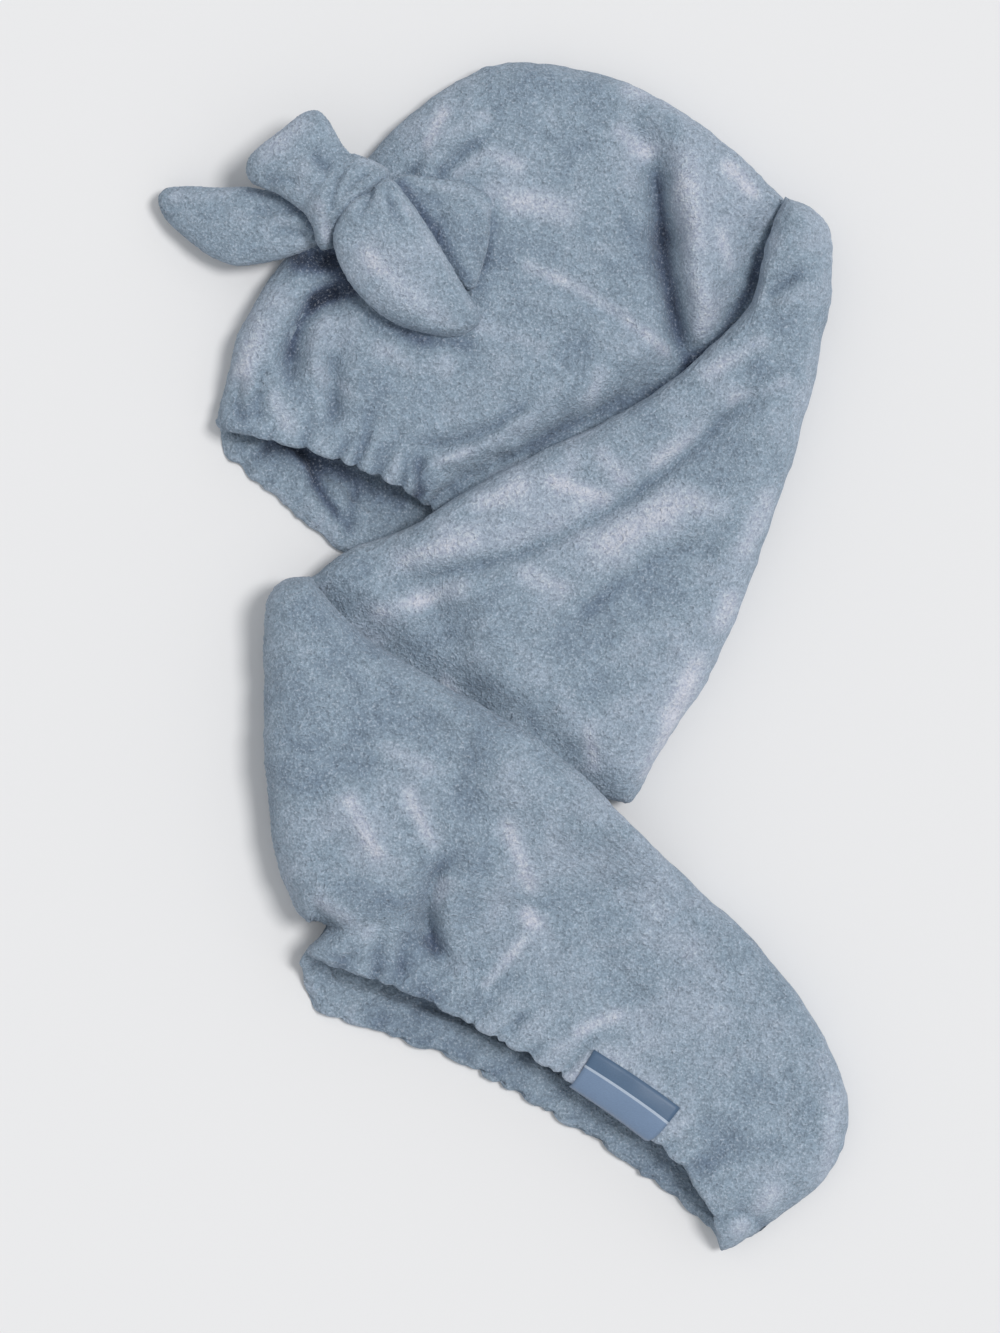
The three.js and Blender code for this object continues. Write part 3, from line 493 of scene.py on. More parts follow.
def outline_of(first, run, last):
    return np.concatenate([
        along_section(first)[::-1], run[:, 0:2], along_section(last), run[::-1, 2:4],
    ])


hood_run = resample(hood_chosen, 12)
band_run = resample(band_chosen, 11)
pocket_run = resample(pocket_chosen, 13)
hood_outline = outline_of(hood_mouth, hood_run[:-1], right_end)
band_outline = outline_of(right_end, band_run[1:-1], left_end)
pocket_outline = outline_of(left_end, pocket_run[1:], pocket_mouth)
_, _, mouth_fx, mouth_fy, _ = across_and_forward(hood_mouth)
lip_reach = table_value(hood_lip_rows, np.linspace(0, 1, 13)) * hood_lip
hood_lip_outline = np.concatenate([
    along_section(hood_mouth)[::-1],
    along_section(hood_mouth, 13) - lip_reach[:, None] * np.array([mouth_fx, mouth_fy]),
])


def broad_relief(layer, x, y):
    total = np.zeros(x.shape)
    for name, x1, y1, x2, y2, rise, spread in broad_folds:
        if name != layer:
            continue
        px, py = (x1 - 0.5) * towel_width, (y1 - 0.5) * towel_length
        lx, ly = (x2 - x1) * towel_width, (y2 - y1) * towel_length
        away, _ = to_segment(x, y, px, py, lx, ly)
        total += rise * np.exp(-((away / spread) ** 2))
    return total


def hood_heights(x, y):
    """A layer's base, loft and relief over plan points."""
    pressed = cover(band_outline, 0, press_reach, x, y)
    relief = (1 - pressed) * (hood_puff + broad_relief("hood", x, y))
    return np.zeros(x.shape), mix(hood_loft, pressed_loft, pressed), relief


def band_base(x, y):
    over_hood = (pressed_loft + layer_gap) * cover(hood_outline, drape_margin, drape_reach, x, y)
    over_lip = (hem_wall + layer_gap) * cover(hood_lip_outline, drape_margin, drape_reach, x, y)
    return np.maximum(over_hood, over_lip)


def band_heights(x, y):
    pressed = cover(pocket_outline, 0, press_reach, x, y)
    relief = (1 - pressed) * (band_puff + broad_relief("band", x, y))
    return band_base(x, y), mix(band_loft, pressed_loft, pressed), relief


def pocket_heights(x, y):
    over_band = cover(band_outline, drape_margin, drape_reach, x, y)
    stacked = cover(hood_outline, 0, drape_reach, x, y)
    base = (band_base(x, y) + pressed_loft + layer_gap) * over_band
    relief = (1 - stacked_press * stacked) * (pocket_puff + broad_relief("pocket", x, y))
    return base, mix(pocket_loft, pressed_loft, stacked), relief


layers = {
    "hood": {"upper_is_p": True, "heights": hood_heights, "lip": (-1, hood_lip_rows, hood_lip)},
    "band": {"upper_is_p": False, "heights": band_heights, "lip": None},
    "pocket": {"upper_is_p": True, "heights": pocket_heights, "lip": (1, pocket_lip_rows, pocket_lip)},
}


def edge_rise(from_edge, radius):
    t = 1 - np.clip(from_edge / radius, 0, 1)
    return np.sqrt(1 - t * t)


def nudged(x, y):
    for row_x, row_y, right, up, spread in nudge_rows:
        away = np.hypot(x - (row_x - 0.5) * towel_width, y - (row_y - 0.5) * towel_length)
        share = np.exp(-((away / spread) ** 2))
        x = x + right * share
        y = y + up * share
    return x, y


def across_steps(count, crowding=0.65):
    """Places across a section, closer together near its two edges."""
    even = np.linspace(0, 1, count + 1)
    return mix(even, (1 - np.cos(np.pi * even)) / 2, crowding)


class Loop:
    """Places across a section in order, and whether each is on cloth P or on cloth Q."""

    def __init__(self, across, on_p):
        self.across = across
        self.on_p = on_p


def whole_loop(count_p, count_q):
    """Once round a section: over cloth P from edge a to edge b, then back over cloth Q."""
    over_p = across_steps(count_p)
    over_q = across_steps(count_q)[::-1][1:-1]
    on_p = np.concatenate([np.ones(len(over_p), bool), np.zeros(len(over_q), bool)])
    return Loop(np.concatenate([over_p, over_q]), on_p)


def layer_points(layer, sections, depth, loop=None):
    """A layer's loops at depth below its outer face: sections by steps by x, y, z."""
    loop = loop or body_loop
    _, _, fx, fy, length = (v[..., None] for v in across_and_forward(sections))
    inner = length - 2 * depth
    x, y = plan_points(sections, depth + loop.across * inner)
    if layers[layer]["lip"]:
        outward, rows, lip_length = layers[layer]["lip"]
        reach = sections[..., 6, None] * lip_length * table_value(rows, loop.across)
        reach = outward * np.where(loop.on_p, 0, reach)
        x, y = x + fx * reach, y + fy * reach
    is_upper = loop.on_p == layers[layer]["upper_is_p"]
    base, loft, relief = layers[layer]["heights"](x, y)
    from_edge = np.minimum(loop.across, 1 - loop.across) * inner
    rise = edge_rise(from_edge, edge_round - depth)
    middle = base + nose_share * loft
    upper = middle + ((1 - nose_share) * loft - depth) * rise
    upper = upper + relief * edge_rise(from_edge, puff_round) * rise
    lower = middle - (nose_share * loft - depth) * rise
    x, y = nudged(x, y)
    return np.stack([x, y, np.where(is_upper, upper, lower)], -1)


def turn_points(lower, upper, section, outward, depth):
    """Loops where the sleeve turns over beside a fold, from the lower layer to the upper one."""
    _, _, fx, fy, length = across_and_forward(section)
    x, y = plan_points(section[None], depth + body_loop.across * (length - 2 * depth))
    low = layer_points(lower, section[None], depth)[0, :, 2]
    high = layer_points(upper, section[None], depth)[0, :, 2]
    low_base, low_loft, _ = layers[lower]["heights"](x[0], y[0])
    high_base, high_loft, _ = layers[upper]["heights"](x[0], y[0])
    centre = (low_base + high_base + nose_share * (low_loft + high_loft)) / 2
    radius = mix(centre - low, high - centre, (1 + np.sin(turn_angles)) / 2)
    out_x, out_y = nudged(
        x + fx * outward * radius * np.cos(turn_angles),
        y + fy * outward * radius * np.cos(turn_angles),
    )
    return np.stack([out_x, out_y, centre + radius * np.sin(turn_angles)], -1)


def polyline_distance(points, x, y):
    """The nearest distance to a line of points, its side, and the share of the way along."""
    best = np.full(x.shape, np.inf)
    side = np.zeros(x.shape)
    share = np.zeros(x.shape)
    steps = np.hypot(*np.diff(points, axis=0).T)
    starts = np.concatenate([[0], np.cumsum(steps)])
    for i, ((px, py), (qx, qy)) in enumerate(zip(points[:-1], points[1:])):
        ex, ey = qx - px, qy - py
        away, t = to_segment(x, y, px, py, ex, ey)
        nearer = away < best
        best = np.where(nearer, away, best)
        side = np.where(nearer, np.sign((y - py) * ex - (x - px) * ey), side)
        share = np.where(nearer, (starts[i] + t * steps[i]) / starts[-1], share)
    return best, side, share


# Creases: the share over which each end fades, the valley's sharpness, and how much a millimetre of
# height or depth changes the pile's tone: a painted highlight on the rolls and painted shade in the
# valleys
crease_taper = 0.22
valley_sharpness = 1.4
roll_painted_highlight = 0.025
valley_shade = 0.036
tone_stroke_spread = 1.25


def crease_relief(layer, x, y):
    """The height of a layer's creases and the rolls beside them, and the painted highlight on the
    rolls and painted shade in the valleys.
    """
    total = np.zeros(x.shape)
    tone = np.zeros(x.shape)
    for (depth, width), (height, offset, spread), points in creases[layer]:
        line = resample(view_line(points), 5 * len(points))
        away, side, share = polyline_distance(line, x, y)
        ends = smoothstep(share / crease_taper) * smoothstep((1 - share) / crease_taper)
        valley = ends * np.exp(-((away / width) ** valley_sharpness))
        roll = ends * np.exp(-(((away * side + offset) / spread) ** 2))
        total += height * roll - depth * valley
        # painted highlight on the roll, painted shade in the valley
        tone += roll_painted_highlight * height * roll - valley_shade * depth * valley
    return total, tone


def nap_and_painted_light_tone(layer, x, y):
    """How much paler the pile is where it has been brushed the other way or has a painted highlight,
    and how much darker where painted shade lies.
    """
    total = np.zeros(x.shape)
    for width, strength, points in nap_and_painted_light[layer]:
        away, _, _ = polyline_distance(view_line(points), x, y)
        total += strength * np.exp(-((away / (tone_stroke_spread * width * view_step)) ** 2))
    return total


def soft_lumps(x, y, seed, shortest, longest, waves=26):
    """A smooth uneven surface, from -1 to 1 or so: waves of many directions over bent coordinates."""
    rng = np.random.default_rng(seed)
    total = np.zeros(x.shape)
    broad_bend, fine_bend = 9, 6
    warp_x = broad_bend * np.sin(y / 37 + 1.3) + fine_bend * np.sin(x / 23 + 0.4)
    warp_y = broad_bend * np.sin(x / 41 + 2.1) + fine_bend * np.sin(y / 19 + 1.1)
    for _ in range(waves):
        turn = rng.uniform(0, np.pi)
        wavelength = np.exp(rng.uniform(np.log(shortest), np.log(longest)))
        phase = rng.uniform(0, 2 * np.pi)
        along = (x + warp_x) * np.cos(turn) + (y + warp_y) * np.sin(turn)
        total += np.sin(2 * np.pi * along / wavelength + phase)
    return total / np.sqrt(waves / 2)


def upward_normals(grid, closed_ring, top):
    """Unit normals of a grid whose second axis is a closed loop, turned so that top's points up."""
    if closed_ring:
        along = np.roll(grid, -1, 0) - np.roll(grid, 1, 0)
    else:
        along = np.gradient(grid, axis=0)
    around = np.roll(grid, -1, 1) - np.roll(grid, 1, 1)
    normal = np.cross(along, around)
    size = np.linalg.norm(normal, axis=-1, keepdims=True)
    normal = normal / np.maximum(size, 1e-9)
    return normal if normal[top][2] >= 0 else -normal


# The sleeve, from the hood's mouth to the pocket's
body_loop = whole_loop(196, 108)
hood_count, band_count, pocket_count, turn_count = 150, 116, 152, 16
hem_rows, roll_rows = 16, 9
roll_share = hem_wall / 2 / hem_width
turn_angles = np.pi * (np.arange(1, turn_count + 1) / (turn_count + 1) - 0.5)[:, None]
hem_shares = np.linspace(roll_share, 1, hem_rows + 1)[:-1]
casing_end = 0.72
least_hollow = 9  # how near the floor the hood's upper face may dip
least_height = 0.15  # how near the floor any cloth may come

# Where a normal's upward share starts to count as facing up, and over how much it grows to the full
up_from, up_over = -0.1, 0.5
inner_up_over = 0.4

# The cloth's unevenness: height, seed, shortest and longest wave
lump_rows = [(0.75, 5, 34, 95), (0.3, 8, 12, 28)]

# The gathers at a mouth, outside and inside: depth, seed, how many on each cloth, how far they run
gathers = {
    "hood": (3.4, 3, 23, 26),
    "pocket": (3.2, 4, 23, 24),
    "inside hood": (2.4, 13, 22, 18),
    "inside pocket": (2.2, 14, 22, 18),
}
label_fade = 0.3  # over what share of the label's half length the gathers beside it fade

# Between what values each furrow of the gathers lies
furrow_place = (-0.45, 0.45)
furrow_width = (1.6, 4)
furrow_depth = (0.2, 1)
furrow_run = (0.45, 1.4)
furrow_lean = (-0.3, 0.3)
widening = 40  # at what distance from the edge a furrow is twice as wide
deepest = 1.1  # of a furrow's full depth, where several meet

# Roughness is in millimetres, and shades and tones in shares of the pile's range of colours.
lumps_below = 0.35  # of the unevenness, on cloth that faces down
cloth_roughness = 0.09
bow_roughness = 0.12
gather_shade = 0.05
inside_shade = 0.05
middle_tone = 0.5


def hem_sections(mouth, seam, shares):
    return mouth + (seam - mouth) * np.asarray(shares)[:, None]


def casing_depth(shares):
    """The cloth's thickness along a hem: a round casing, and the plain cloth at the seam."""
    past = np.clip((shares - casing_end) / (1 - casing_end), 0, 1)
    return cloth_wall + (hem_wall - cloth_wall) * np.sqrt(1 - past**2)


def sleeve_grid(inner):
    """The loops of the sleeve's outer or inner face from mouth to mouth, and each one's layer."""
    wall = cloth_wall if inner else 0
    casing = casing_depth(hem_shares)[:, None] if inner else 0
    casing_back = casing[::-1] if inner else 0
    hood_hem = hem_sections(hood_mouth, hood_seam, hem_shares)
    pocket_hem = hem_sections(pocket_mouth, pocket_seam, hem_shares[::-1])
    parts = [
        ("hood", layer_points("hood", hood_hem, casing)),
        ("hood", layer_points("hood", resample(hood_chosen, hood_count), wall)),
        ("band", turn_points("hood", "band", right_turn, 1, wall)),
        ("band", layer_points("band", resample(band_chosen, band_count), wall)),
        ("band", turn_points("band", "pocket", left_turn, -1, wall)),
        ("pocket", layer_points("pocket", resample(pocket_chosen, pocket_count), wall)),
        ("pocket", layer_points("pocket", pocket_hem, casing_back)),
    ]
    names = np.concatenate([np.full(len(grid), name) for name, grid in parts])
    return np.concatenate([grid for _, grid in parts]), names


def roll_loops(layer, mouth, seam):
    """Loops round a mouth's edge, from its outer face to its inner one."""
    loops = []
    for angle in np.linspace(0, np.pi, roll_rows + 2)[1:-1]:
        section = hem_sections(mouth, seam, [roll_share * (1 - np.sin(angle))])
        loops.append(layer_points(layer, section, hem_wall / 2 * (1 - np.cos(angle)))[0])
    return np.array(loops)


def pleats(name, away, length, share=1):
    """Furrows that run in from a gathered edge, at distances away from it, in millimetres."""
    full_depth, seed, count, reach = gathers[name]
    rng = np.random.default_rng(seed)
    total = np.zeros(away.shape)
    for side in (body_loop.on_p, ~body_loop.on_p):
        for k in range(count):
            place = (k + 0.5 + rng.uniform(*furrow_place)) / count
            width = rng.uniform(*furrow_width) * (1 + away / widening)
            depth = rng.uniform(*furrow_depth)
            run = reach * rng.uniform(*furrow_run)
            lean = rng.uniform(*furrow_lean)
            off = (body_loop.across - place) * length - lean * away
            total += side * depth * np.exp(-((off / width) ** 2) - (away / run) ** 2)
    furrows = np.minimum(total, deepest) * np.sin(np.pi * body_loop.across) ** 0.4
    return full_depth * share * furrows


outer, outer_names = sleeve_grid(False)
inner, _ = sleeve_grid(True)
station_count = len(outer)
hood_roll = roll_loops("hood", hood_mouth, hood_seam)
pocket_roll = roll_loops("pocket", pocket_mouth, pocket_seam)

# Once round the cloth's own thickness: out over the outer face, and back over the inner one
ring = np.concatenate([outer, pocket_roll, inner[::-1], hood_roll[::-1]])
ring_names = np.concatenate([
    outer_names, np.full(roll_rows, "pocket"), outer_names[::-1], np.full(roll_rows, "hood"),
])
at_outer = slice(0, station_count)
at_pocket_roll = slice(station_count, station_count + roll_rows)
at_inner = slice(station_count + roll_rows, 2 * station_count + roll_rows)
at_hood_roll = slice(2 * station_count + roll_rows, len(ring))
on_hood = (hem_rows + 40, 98)  # a point in the middle of the hood's upper face
ring_normal = upward_normals(ring, True, on_hood)

# What both faces of the cloth follow is worked out on the outer one.
outer_normal = ring_normal[at_outer]
plan_x, plan_y = outer[..., 0], outer[..., 1]
facing_up = smoothstep((outer_normal[..., 2] - up_from) / up_over)
follow = sum(height * soft_lumps(plan_x, plan_y, *waves) for height, *waves in lump_rows)
follow *= mix(lumps_below, 1, facing_up)
sunk = np.zeros(follow.shape)
# The outer tone: painted shade and highlights of the creases and strokes on upward faces, with brushed
# nap.
outer_tone = np.zeros(follow.shape)
for layer_name in layers:
    rows = outer_names == layer_name
    relief, tone = crease_relief(layer_name, plan_x[rows], plan_y[rows])
    sunk[rows] += facing_up[rows] * relief
    tone = tone + nap_and_painted_light_tone(layer_name, plan_x[rows], plan_y[rows])
    outer_tone[rows] += facing_up[rows] * tone
on_hood_top = (outer_names == "hood")[:, None] & (facing_up > 0.5)
sunk = np.where(on_hood_top, np.maximum(sunk, least_hollow - outer[..., 2]), sunk)
shift = outer_normal * follow[..., None]
shift[..., 2] += sunk

# Gathers carve each face from its own side.
steps = np.linalg.norm(np.diff(outer, axis=0), axis=-1)
from_hood = np.concatenate([np.zeros((1, steps.shape[1])), np.cumsum(steps, 0)])
from_pocket = from_hood[-1] - from_hood
hood_mouth_length = across_and_forward(hood_mouth)[4]
pocket_mouth_length = across_and_forward(pocket_mouth)[4]


def round_the_ring(over_outer, over_inner):
    return np.concatenate([
        over_outer, np.repeat(over_outer[-1:], roll_rows, 0), over_inner[::-1],
        np.repeat(over_outer[:1], roll_rows, 0),
    ])


label_half = label_length / pocket_mouth_length / 2
beside_label = np.abs(body_loop.across - label_place) / label_half
under_label = np.where(body_loop.on_p, smoothstep((beside_label - 1) / label_fade), 1)
carved = round_the_ring(
    pleats("hood", from_hood, hood_mouth_length)
    + pleats("pocket", from_pocket, pocket_mouth_length, under_label),
    pleats("inside hood", from_hood, hood_mouth_length)
    + pleats("inside pocket", from_pocket, pocket_mouth_length),
)
inner_up = smoothstep(ring_normal[at_inner][..., 2] / inner_up_over)
inner_x, inner_y = ring[at_inner][..., 0], ring[at_inner][..., 1]
inside_relief, inside_tone = crease_relief("hood inside", inner_x, inner_y)
inside_tone += nap_and_painted_light_tone("hood inside", inner_x, inner_y)
lower_inside = inner_up * (ring_names[at_inner] == "hood")[:, None]
own = -carved
own[at_inner] += inside_relief * lower_inside
rough = np.random.default_rng(11).standard_normal(own.shape)
own += cloth_roughness * (rough + np.roll(rough, 1, 0) + np.roll(rough, 1, 1))

plain_ring = ring.copy()
ring += round_the_ring(shift, shift) + ring_normal * own[..., None]
ring[..., 2] = np.maximum(ring[..., 2], least_height)
ring_normal = upward_normals(ring, True, on_hood)
# The pile's tone: painted shade and highlights of creases and strokes, painted shade in the gathers'
# furrows and over the inner face, and brushed nap.
ring_tone = round_the_ring(outer_tone, np.zeros(outer_tone.shape)) - gather_shade * carved
ring_tone[at_inner] += inside_tone * lower_inside - inside_shade
ring_tone = np.clip(middle_tone + ring_tone, 0, 1)


def mesh_object(name, vertices, faces, material, normals=None, tone=None):
    """An object of metres from the tables' millimetres, with its pile's tone, painted shade and
    painted highlights at each vertex.
    """
    mesh = bpy.data.meshes.new(name)
    places = (np.asarray(vertices, float) + np.array([*origin_shift, 0])) / 1000
    mesh.from_pydata(places.tolist(), [], faces)
    mesh.validate()
    mesh.polygons.foreach_set("use_smooth", [True] * len(mesh.polygons))
    mesh.materials.append(material)
    if normals is not None:
        mesh.normals_split_custom_set_from_vertices(np.asarray(normals).tolist())
    if tone is not None:
        attribute = mesh.attributes.new("pile_tone_and_painted_light", "FLOAT", "POINT")
        attribute.data.foreach_set("value", np.asarray(tone, np.float32))
    obj = bpy.data.objects.new(name, mesh)
    bpy.context.scene.collection.objects.link(obj)
    return obj


def ring_faces(count_rings, count_loop, closed):
    """Quads between loops, each joined to the next, and the last to the first if closed."""
    rings = np.arange(count_rings if closed else count_rings - 1)[:, None]
    steps = np.arange(count_loop)[None]
    next_ring = (rings + 1) % count_rings
    next_step = (steps + 1) % count_loop
    faces = np.stack([
        rings * count_loop + steps, next_ring * count_loop + steps,
        next_ring * count_loop + next_step, rings * count_loop + next_step,
    ], -1)
    return faces.reshape(-1, 4)


def turned_out(vertices, faces):
    """The faces, turned to point out."""
    v = vertices[faces]
    volume = np.einsum("ij,ij->", v[:, 0], np.cross(v[:, 1], v[:, 2]))
    volume += np.einsum("ij,ij->", v[:, 0], np.cross(v[:, 2], v[:, 3]))
    return faces if volume > 0 else faces[:, ::-1]


def ring_piece(name, rows):
    """A closed piece of the ring from some of its loops."""
    vertices = ring[rows].reshape(-1, 3)
    faces = turned_out(vertices, ring_faces(len(rows), ring.shape[1], True))
    normals = ring_normal[rows].reshape(-1, 3)
    return mesh_object(name, vertices, faces.tolist(), plush, normals, ring_tone[rows].reshape(-1))


def capped_loft(name, loops, tone):
    """A loft whose first and last loops are closed with fans."""
    count = loops.shape[1]
    vertices = np.concatenate([loops.reshape(-1, 3), [loops[0].mean(0)], [loops[-1].mean(0)]])
    faces = ring_faces(len(loops), count, False)
    flipped = turned_out(vertices, faces)[0][0] != faces[0][0]
    first, last = len(vertices) - 2, len(vertices) - 1
    caps = []
    for j in range(count):
        k = (j + 1) % count
        caps.append([first, j, k])
        caps.append([last, (len(loops) - 1) * count + k, (len(loops) - 1) * count + j])
    if flipped:
        faces = faces[:, ::-1]
        caps = [cap[::-1] for cap in caps]
    tones = np.concatenate([tone.reshape(-1), [tone[0].mean(), tone[-1].mean()]])
    return mesh_object(name, vertices, faces.tolist() + caps, plush, tone=tones)


class Graph:
    """The nodes of a new material with a Principled shader."""

    def __init__(self, name):
        self.material = bpy.data.materials.new(name)
        self.material.use_nodes = True
        self.nodes = self.material.node_tree.nodes
        self.links = self.material.node_tree.links
        self.shader = self.nodes["Principled BSDF"]

    def give(self, node, **values):
        """Sets a node's inputs, named with _ for spaces, to numbers, colours or other outputs."""
        for name, value in values.items():
            self.give_socket(node.inputs[name.replace("_", " ")], value)
        return node

    def give_socket(self, socket, value):
        if isinstance(value, (int, float, tuple)):
            socket.default_value = value
        else:
            self.links.new(value, socket)

    def attribute(self, name):
        node = self.nodes.new("ShaderNodeAttribute")
        node.attribute_name = name
        return node.outputs["Fac"]

    def noise(self, source, scale, detail, roughness, distortion):
        node = self.nodes.new("ShaderNodeTexNoise")
        self.give(node, Vector=source, Scale=scale, Detail=detail)
        return self.give(node, Roughness=roughness, Distortion=distortion).outputs["Fac"]

    def ramp(self, source, stops):
        node = self.nodes.new("ShaderNodeValToRGB")
        ramp = node.color_ramp
        while len(ramp.elements) < len(stops):
            ramp.elements.new(0.5)
        for element, (place, colour) in zip(ramp.elements, stops):
            element.position = place
            element.color = colour
        return self.give(node, Fac=source).outputs["Color"]

    def mix(self, kind, factor, first, second):
        node = self.nodes.new("ShaderNodeMix")
        node.data_type = "RGBA"
        node.blend_type = kind
        sockets = {socket.identifier: socket for socket in node.inputs}
        self.give_socket(sockets["Factor_Float"], factor)
        self.give_socket(sockets["A_Color"], first)
        self.give_socket(sockets["B_Color"], second)
        return next(s for s in node.outputs if s.identifier == "Result_Color")

    def math(self, kind, first, second):
        node = self.nodes.new("ShaderNodeMath")
        node.operation = kind
        self.give_socket(node.inputs[0], first)
        self.give_socket(node.inputs[1], second)
        return node.outputs["Value"]

    def around_middle(self, source, strength):
        """Noise about its middle, times strength."""
        return self.math("MULTIPLY", self.math("SUBTRACT", source, 0.5), strength)

    def bump(self, height, **values):
        node = self.give(self.nodes.new("ShaderNodeBump"), Height=height, **values)
        return node.outputs["Normal"]


def grey(value):
    return (value, value, value, 1)


def srgb(red, green, blue):
    """A colour given as 0 to 255 on a screen."""
    values = []
    for channel in (red, green, blue):
        c = channel / 255
        values.append(c / 12.92 if c <= 0.04045 else ((c + 0.055) / 1.055) ** 2.4)
    return (*values, 1)


def plush_material(name):
    """Short dense pile: brushed patches, painted shade in the creases and painted highlights on rolls
    and rims, clumps of fibres with pale tips.
    """
    graph = Graph(name)
    places = graph.nodes.new("ShaderNodeTexCoord").outputs["Object"]
    patches = graph.noise(places, 13, 3, 0.5, 0.5)
    streaks = graph.noise(places, 52, 3, 0.6, 0.6)
    clumps = graph.noise(places, 360, 3, 0.6, 0.4)
    fibres = graph.noise(places, 820, 2, 0.6, 0)
    # The tone attribute carries painted shade and painted highlights as well as brushed nap.
    level = graph.math("ADD", graph.attribute("pile_tone_and_painted_light"), graph.around_middle(patches, 0.5))
    level = graph.math("ADD", level, graph.around_middle(streaks, 0.34))
    contrast = [(0.3, grey(0.2)), (0.7, grey(0.8))]
    coloured = graph.ramp(level, pile_and_painted_shade_stops)
    coloured = graph.mix("OVERLAY", 0.3, coloured, graph.ramp(clumps, contrast))
    coloured = graph.mix("OVERLAY", 0.36, coloured, graph.ramp(fibres, contrast))
    tips = graph.ramp(fibres, [(0.56, grey(0)), (0.72, grey(0.34))])
    coloured = graph.mix("MIX", tips, coloured, tip_colour)
    low = graph.bump(clumps, Strength=0.9, Distance=0.002)
    high = graph.bump(fibres, Strength=0.8, Distance=0.0011, Normal=low)
    graph.give(graph.shader, Base_Color=coloured, Normal=high, Roughness=0.95, Specular_IOR_Level=0.12)
    graph.give(graph.shader, Sheen_Weight=0.3, Sheen_Roughness=0.5, Sheen_Tint=srgb(214, 220, 232))
    return graph.material


def satin_material(name, colour):
    """Woven satin ribbon: fine threads along it and a soft gloss."""
    graph = Graph(name)
    places = graph.nodes.new("ShaderNodeTexCoord").outputs["Object"]
    turned = graph.nodes.new("ShaderNodeMapping")
    graph.give(turned, Vector=places, Rotation=(0, 0, 0.68), Scale=(1, 5, 1))
    threads = graph.noise(turned.outputs["Vector"], 900, 2, 0.5, 0)
    tone = graph.ramp(threads, [(0.3, grey(0.42)), (0.7, grey(0.58))])
    coloured = graph.mix("OVERLAY", 0.5, colour, tone)
    bump = graph.bump(threads, Strength=0.3, Distance=0.0003)
    graph.give(graph.shader, Base_Color=coloured, Normal=bump, Roughness=0.42, Sheen_Weight=0.15)
    return graph.material


# The pile's colours from the painted shade of the deepest crease to the palest patch, and the tips of
# its fibres
pile_and_painted_shade_stops = [
    (0.02, srgb(48, 58, 76)),
    (0.2, srgb(88, 102, 124)),
    (0.36, srgb(121, 138, 156)),
    (0.5, srgb(144, 161, 177)),
    (0.66, srgb(168, 180, 196)),
    (0.86, srgb(200, 204, 217)),
]
tip_colour = srgb(214, 218, 228)
plush = plush_material("plush")
satin_dark = satin_material("label_satin_upper", srgb(76, 101, 129))
satin_pale = satin_material("label_satin_lower", srgb(112, 134, 163))
satin_line = satin_material("label_satin_line", srgb(168, 182, 200))


def face_rows(first, last, thinned):
    """The ring's loops of a piece from station first to last: its outer face, then its inner one."""
    back = list(range(last, first, -thinned)) + [first]
    inner_start = station_count + roll_rows
    return list(range(first, last + 1)), [inner_start + station_count - 1 - i for i in back]


hood_end = hem_rows + hood_count - 1
band_end = hood_end + band_count + 2 * turn_count + 1
pocket_end = station_count - 1 - hem_rows
pieces = {}
for piece_name, first, last in (
    ("upper_hood", hem_rows, hood_end), ("crossing_band", hood_end, band_end),
    ("lower_hood", band_end, pocket_end),
):
    outside, inside = face_rows(first, last, 2)
    pieces[piece_name] = ring_piece(f"{piece_name}_cloth", outside + inside)
outside, inside = face_rows(0, hem_rows, 1)
around_edge = list(range(at_hood_roll.start, at_hood_roll.stop))
pieces["hood_hem"] = ring_piece("hood_hem_cloth", outside[::-1] + around_edge[::-1] + inside[::-1])
outside, inside = face_rows(pocket_end, station_count - 1, 1)
around_edge = list(range(at_pocket_roll.start, at_pocket_roll.stop))
pieces["pocket_hem"] = ring_piece("pocket_hem_cloth", outside + around_edge + inside)


# How square a bow piece's section is, its thickness below over that above, its grid and unevenness
bow_roundness = 2.6
bow_underside = 0.85
bow_rings, bow_steps = 84, 46
bow_lumps = 0.7
bow_waves = (18, 50)


def lobe(name, rows, seed):
    """A padded, flattened end of the bow, with creases and soft unevenness."""
    rows = np.array(rows, float)
    for k in (0, 2):
        rows[:, k], rows[:, k + 1] = from_view(rows[:, k], rows[:, k + 1])
    fine = resample(rows, bow_rings)
    loop = whole_loop(bow_steps, bow_steps)
    across = loop.across
    x = mix(fine[:, 0:1], fine[:, 2:3], across)
    y = mix(fine[:, 1:2], fine[:, 3:4], across)
    profile = np.sqrt(np.clip(1 - np.abs(2 * across - 1) ** bow_roundness, 0, 1))
    z = bow_lift + fine[:, 4:5] + fine[:, 5:6] * profile * np.where(loop.on_p, 1.0, -bow_underside)
    grid = np.stack([x, y, z], -1)
    normal = upward_normals(grid, False, (bow_rings // 2, bow_steps // 2))
    relief, tone = crease_relief(name, x, y)
    on_top = profile * loop.on_p
    rough = np.random.default_rng(seed).standard_normal(x.shape)
    lumps = bow_lumps * soft_lumps(x, y, seed, *bow_waves) * profile
    height = lumps + relief * on_top + bow_roughness * rough
    # Painted shade in the creases and strokes and painted highlights on rolls and rims, with brushed
    # nap, on the lobe's top.
    lobe_tone_and_painted_light = middle_tone + (tone + nap_and_painted_light_tone(name, x, y)) * on_top
    return capped_loft(f"{name}_cloth", grid + normal * height[..., None], np.clip(lobe_tone_and_painted_light, 0, 1))


for n, (piece_name, rows) in enumerate(bow_rows.items()):
    pieces[piece_name] = lobe(piece_name, rows, 20 + n)


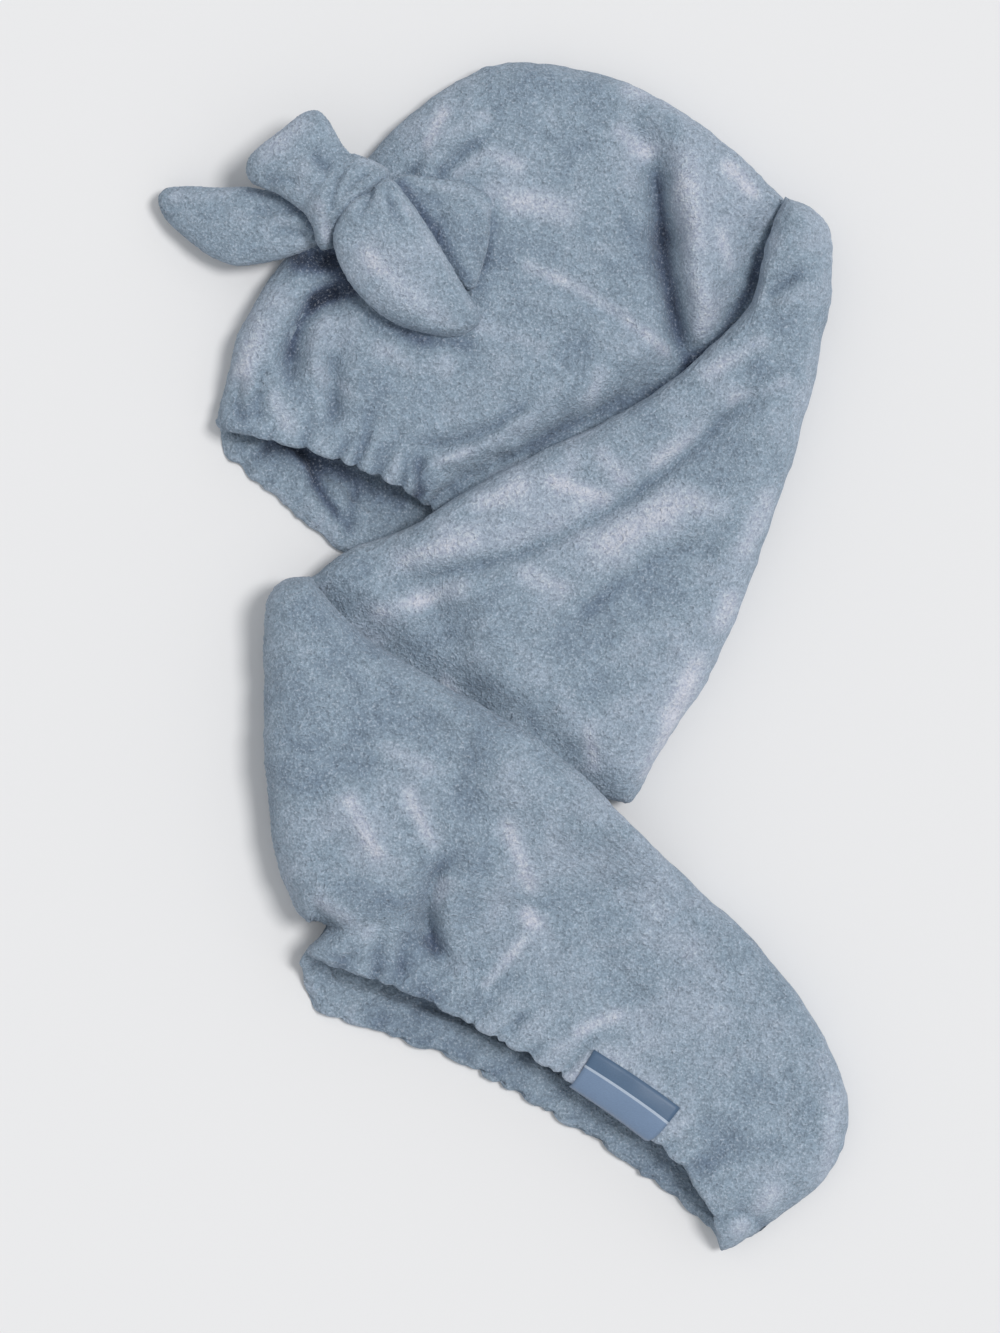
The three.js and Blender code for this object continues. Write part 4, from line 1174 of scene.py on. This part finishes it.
def hem_shift(points, neighbours=24):
    """How far the cloth of the lower mouth's hem has moved beside each point."""
    spare = 6
    near_mouth = slice(
        station_count - hem_rows - spare, station_count + roll_rows + hem_rows + spare,
    )
    places = plain_ring[near_mouth].reshape(-1, 3)
    moves = (ring - plain_ring)[near_mouth].reshape(-1, 3)
    shifts = []
    for point in points.reshape(-1, 3):
        nearest = np.argsort(((places - point) ** 2).sum(1))[:neighbours]
        shifts.append(moves[nearest].mean(0))
    return np.array(shifts).reshape(points.shape)


# The label from its upper end over the hem's edge and under it, as shares of the hem's width and of
# its thickness. Its pale line is the row line_row, and the paler blue is past it.
label_profile = [
    (label_cover, 0), (0.85, 0), (0.7, 0), (0.56, 0), (0.5, 0), (0.42, 0), (0.26, 0.02),
    (0.09, 0.1), (0.0, 0.26), (-0.03, 0.5), (0.0, 0.74), (0.1, 0.92), (0.27, 1), (label_tuck, 1),
]
label_turn = 0.2  # below this share it turns over the edge
label_columns = 22
line_row = 3


def label_piece():
    """A blank satin label folded over the lower mouth's upper hem."""
    columns = np.arange(label_columns + 1) / label_columns - 0.5
    across = label_place + (label_length / pocket_mouth_length) * columns
    on_p = np.ones(len(across), bool)

    def face(clear):
        rows = []
        for share, depth in label_profile:
            out = (depth - 0.5) * 2
            past = (clear / hem_width) * (1 - abs(out)) if share < label_turn else 0
            strip = Loop(across + label_lean * share, on_p)
            section = hem_sections(pocket_mouth, pocket_seam, [share - past])
            rows.append(layer_points("pocket", section, depth * hem_wall + clear * out, strip)[0])
        return np.array(rows)

    near, far = face(label_gap), face(label_gap + label_thickness)
    shift = hem_shift(near)
    grid = np.concatenate([far + shift, (near + shift)[::-1]])
    rows, count = len(grid), grid.shape[1]
    vertices = grid.reshape(-1, 3)
    faces = []
    for i in range(rows):
        j = (i + 1) % rows
        for k in range(count - 1):
            faces.append([i * count + k, j * count + k, j * count + k + 1, i * count + k + 1])
    half = len(label_profile)
    for i in range(half - 1):
        edge = [i * count, (rows - 1 - i) * count, (rows - 2 - i) * count, (i + 1) * count]
        faces.append(edge)
        faces.append([corner + count - 1 for corner in (edge[0], edge[3], edge[2], edge[1])])
    faces = turned_out(vertices, np.array(faces)).tolist()
    obj = mesh_object("label_satin", vertices, faces, satin_dark)
    obj.data.materials.append(satin_pale)
    obj.data.materials.append(satin_line)
    for face_index, polygon in enumerate(obj.data.polygons):
        row = face_index // (count - 1)
        if row < rows:
            row = row if row < half else rows - 1 - row
            polygon.material_index = 2 if row == line_row else int(row > line_row)
    return obj


pieces["label"] = label_piece()

for node, piece in pieces.items():
    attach(piece, "root")
    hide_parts(node)


def add_floor():
    mesh = bpy.data.meshes.new("floor")
    half = 6
    corners = [(-half, -half, 0), (half, -half, 0), (half, half, 0), (-half, half, 0)]
    mesh.from_pydata(corners, [], [[0, 1, 2, 3]])
    floor = bpy.data.objects.new("floor", mesh)
    bpy.context.scene.collection.objects.link(floor)
    graph = Graph("pale_floor")
    graph.give(graph.shader, Base_Color=(0.785, 0.788, 0.798, 1), Roughness=0.9)
    mesh.materials.append(graph.material)


def add_light():
    world = bpy.data.worlds.new("studio")
    bpy.context.scene.world = world
    world.use_nodes = True
    background = world.node_tree.nodes["Background"]
    background.inputs["Color"].default_value = (0.97, 0.985, 1, 1)
    background.inputs["Strength"].default_value = 0.56
    key_data = bpy.data.lights.new("key", "SUN")
    key_data.energy = 1.75
    key_data.angle = 0.3
    key_data.color = (1, 0.985, 0.97)
    key = bpy.data.objects.new("key", key_data)
    key.rotation_euler = (0.0, 0.44, 0.25)
    bpy.context.scene.collection.objects.link(key)


def add_camera():
    data = bpy.data.cameras.new("camera")
    data.lens = 135
    data.sensor_width = 36
    camera = bpy.data.objects.new("camera", data)
    frame_height = view_size[1] * view_step / 1000
    edge_height = 0.014
    centre_x, centre_y = from_view(view_size[0] / 2, view_size[1] / 2)
    camera.location = (
        (centre_x + origin_shift[0]) / 1000,
        (centre_y + origin_shift[1]) / 1000,
        frame_height * data.lens / data.sensor_width + edge_height,
    )
    data.clip_end = 30
    bpy.context.scene.collection.objects.link(camera)
    bpy.context.scene.camera = camera


add_floor()
add_light()
add_camera()
bpy.context.scene.view_settings.view_transform = "Standard"
